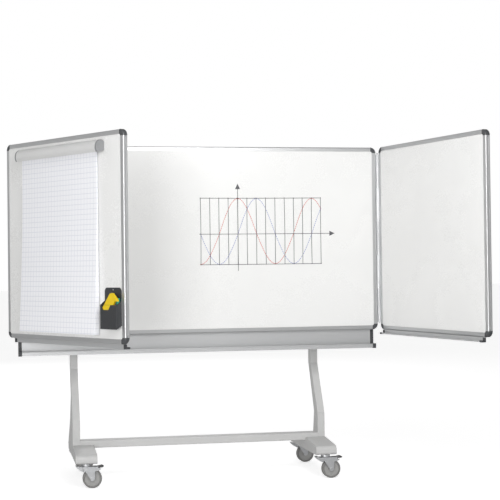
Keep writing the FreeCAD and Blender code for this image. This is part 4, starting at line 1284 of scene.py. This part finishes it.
@dataclass
class Studio:
    """Floor, lights and camera."""

    palette: Palette
    position: tuple[float, float, float] = (-1.1104, -6.7365, 1.1388)
    yaw: float = 10.283
    pitch: float = 0.759
    roll: float = -0.706
    lens: float = 90.58
    shift: float = 0.06
    floor_half: float = 60.0
    sky_level: float = 0.68
    sky_top: float = 0.24

    def camera(self) -> None:
        """Makes the camera and looks along its own direction."""
        yaw = math.radians(self.yaw)
        pitch = math.radians(self.pitch)
        roll = math.radians(self.roll)
        ahead = Vector((
            math.sin(yaw) * math.cos(pitch), math.cos(yaw) * math.cos(pitch), math.sin(pitch)
        ))
        right = Vector((math.cos(yaw), -math.sin(yaw), 0.0))
        up = right.cross(ahead)
        side = right * math.cos(roll) + up * math.sin(roll)
        top = up * math.cos(roll) - right * math.sin(roll)
        turn = Matrix((side, top, -ahead)).transposed().to_4x4()
        data = bpy.data.cameras.new("camera")
        data.lens = self.lens
        data.sensor_width = 36.0
        data.shift_x = self.shift
        data.clip_end = 200.0
        made = bpy.data.objects.new("camera", data)
        bpy.context.scene.collection.objects.link(made)
        made.matrix_world = Matrix.Translation(self.position) @ turn
        bpy.context.scene.camera = made

    def lamp(self, name: str, place: Vector, aim: Vector, size: float, power: float) -> None:
        """Adds a soft square lamp.

        Args:
            name: Its name.
            place: Where it hangs.
            aim: What it points at.
            size: Side of its square.
            power: Its power in watts.
        """
        data = bpy.data.lights.new(name, "AREA")
        data.size = size
        data.energy = power
        made = bpy.data.objects.new(name, data)
        made.visible_camera = False
        bpy.context.scene.collection.objects.link(made)
        made.matrix_world = (
            Matrix.Translation(place) @ (aim - place).to_track_quat("-Z", "Y").to_matrix().to_4x4()
        )

    def floor(self) -> None:
        """Wide pale floor."""
        shape = bmesh.new()
        bmesh.ops.create_grid(shape, x_segments=8, y_segments=8, size=self.floor_half)
        piece = from_bmesh("studio_floor", shape)
        if piece.data.polygons[0].normal.z < 0:
            piece.data.flip_normals()
        self.palette.dress(piece, FLOOR)
        tree = piece.data.materials[0].node_tree
        path = tree.nodes.new("ShaderNodeLightPath")
        level = tree.nodes.new("ShaderNodeMath")
        level.operation = "MULTIPLY"
        level.inputs[1].default_value = FLOOR.glow
        tree.links.new(path.outputs["Is Camera Ray"], level.inputs[0])
        tree.links.new(level.outputs[0], tree.nodes["Principled BSDF"].inputs["Emission Strength"])

    def sky(self) -> None:
        """Pale surroundings, dimmer overhead, and white where the camera sees them."""
        world = bpy.data.worlds.new("studio")
        bpy.context.scene.world = world
        world.use_nodes = True
        tree = world.node_tree
        around = tree.nodes["Background"]
        way = tree.nodes.new("ShaderNodeTexCoord")
        split = tree.nodes.new("ShaderNodeSeparateXYZ")
        dim = tree.nodes.new("ShaderNodeMapRange")
        dim.inputs["From Min"].default_value = 0.0
        dim.inputs["From Max"].default_value = 1.0
        dim.inputs["To Min"].default_value = self.sky_level
        dim.inputs["To Max"].default_value = self.sky_top
        tree.links.new(way.outputs["Generated"], split.inputs[0])
        tree.links.new(split.outputs["Z"], dim.inputs["Value"])
        tree.links.new(dim.outputs[0], around.inputs["Strength"])
        around.inputs["Color"].default_value = (1.0, 1.0, 1.0, 1.0)
        seen = tree.nodes.new("ShaderNodeBackground")
        seen.inputs["Color"].default_value = (1.0, 1.0, 1.0, 1.0)
        path = tree.nodes.new("ShaderNodeLightPath")
        mix = tree.nodes.new("ShaderNodeMixShader")
        tree.links.new(path.outputs["Is Camera Ray"], mix.inputs[0])
        tree.links.new(around.outputs[0], mix.inputs[1])
        tree.links.new(seen.outputs[0], mix.inputs[2])
        tree.links.new(mix.outputs[0], tree.nodes["World Output"].inputs["Surface"])

    def build(self) -> None:
        """Builds the whole studio."""
        bpy.context.scene.view_settings.view_transform = "Standard"
        self.camera()
        self.floor()
        self.sky()
        self.lamp("key", Vector((0.15, -3.0, 2.75)), Vector((0.15, 0.0, 1.45)), 1.5, 46.0)
        self.lamp("low_fill", Vector((-2.4, -5.2, 0.95)), Vector((-0.5, 0.0, 0.6)), 1.6, 100.0)
        self.lamp("rear_wash", Vector((0.0, 7.0, 3.5)), Vector((0.0, 1.5, 0.0)), 4.0, 60.0)


def report(pieces: Sequence[bpy.types.Object]) -> None:
    """Logs each piece and its size."""
    for piece in pieces:
        LOG.info("%s: %d faces", piece.name, len(piece.data.polygons))


def main() -> None:
    """Builds the looks round the CAD frame."""
    logging.basicConfig(level=logging.INFO, format="%(name)s: %(message)s")
    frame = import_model()
    palette = Palette()
    places = {wing: WingPlace(wing, frame) for wing in Wing}
    Studio(palette).build()
    bars = dash_tree()
    boards = Boards(frame, palette, places)
    boards.dress()
    report(boards.screws(copies_tree()))
    report(InkGraph(palette).build(bars))
    clamp = PadClamp(frame, palette, places[Wing.LEFT])
    clamp.dress()
    report([clamp.pad(sheets_tree())])
    box = PenBox(frame, palette, places[Wing.LEFT])
    box.dress()
    report([box.felt()])
    report(box.ribs(bars))
    Stand(frame, palette).dress()
    casters = Casters(frame, palette)
    casters.dress()
    report(casters.face_ribs(bars))
    report(casters.pedal_grips(bars))


if __name__ == "__main__":
    main()
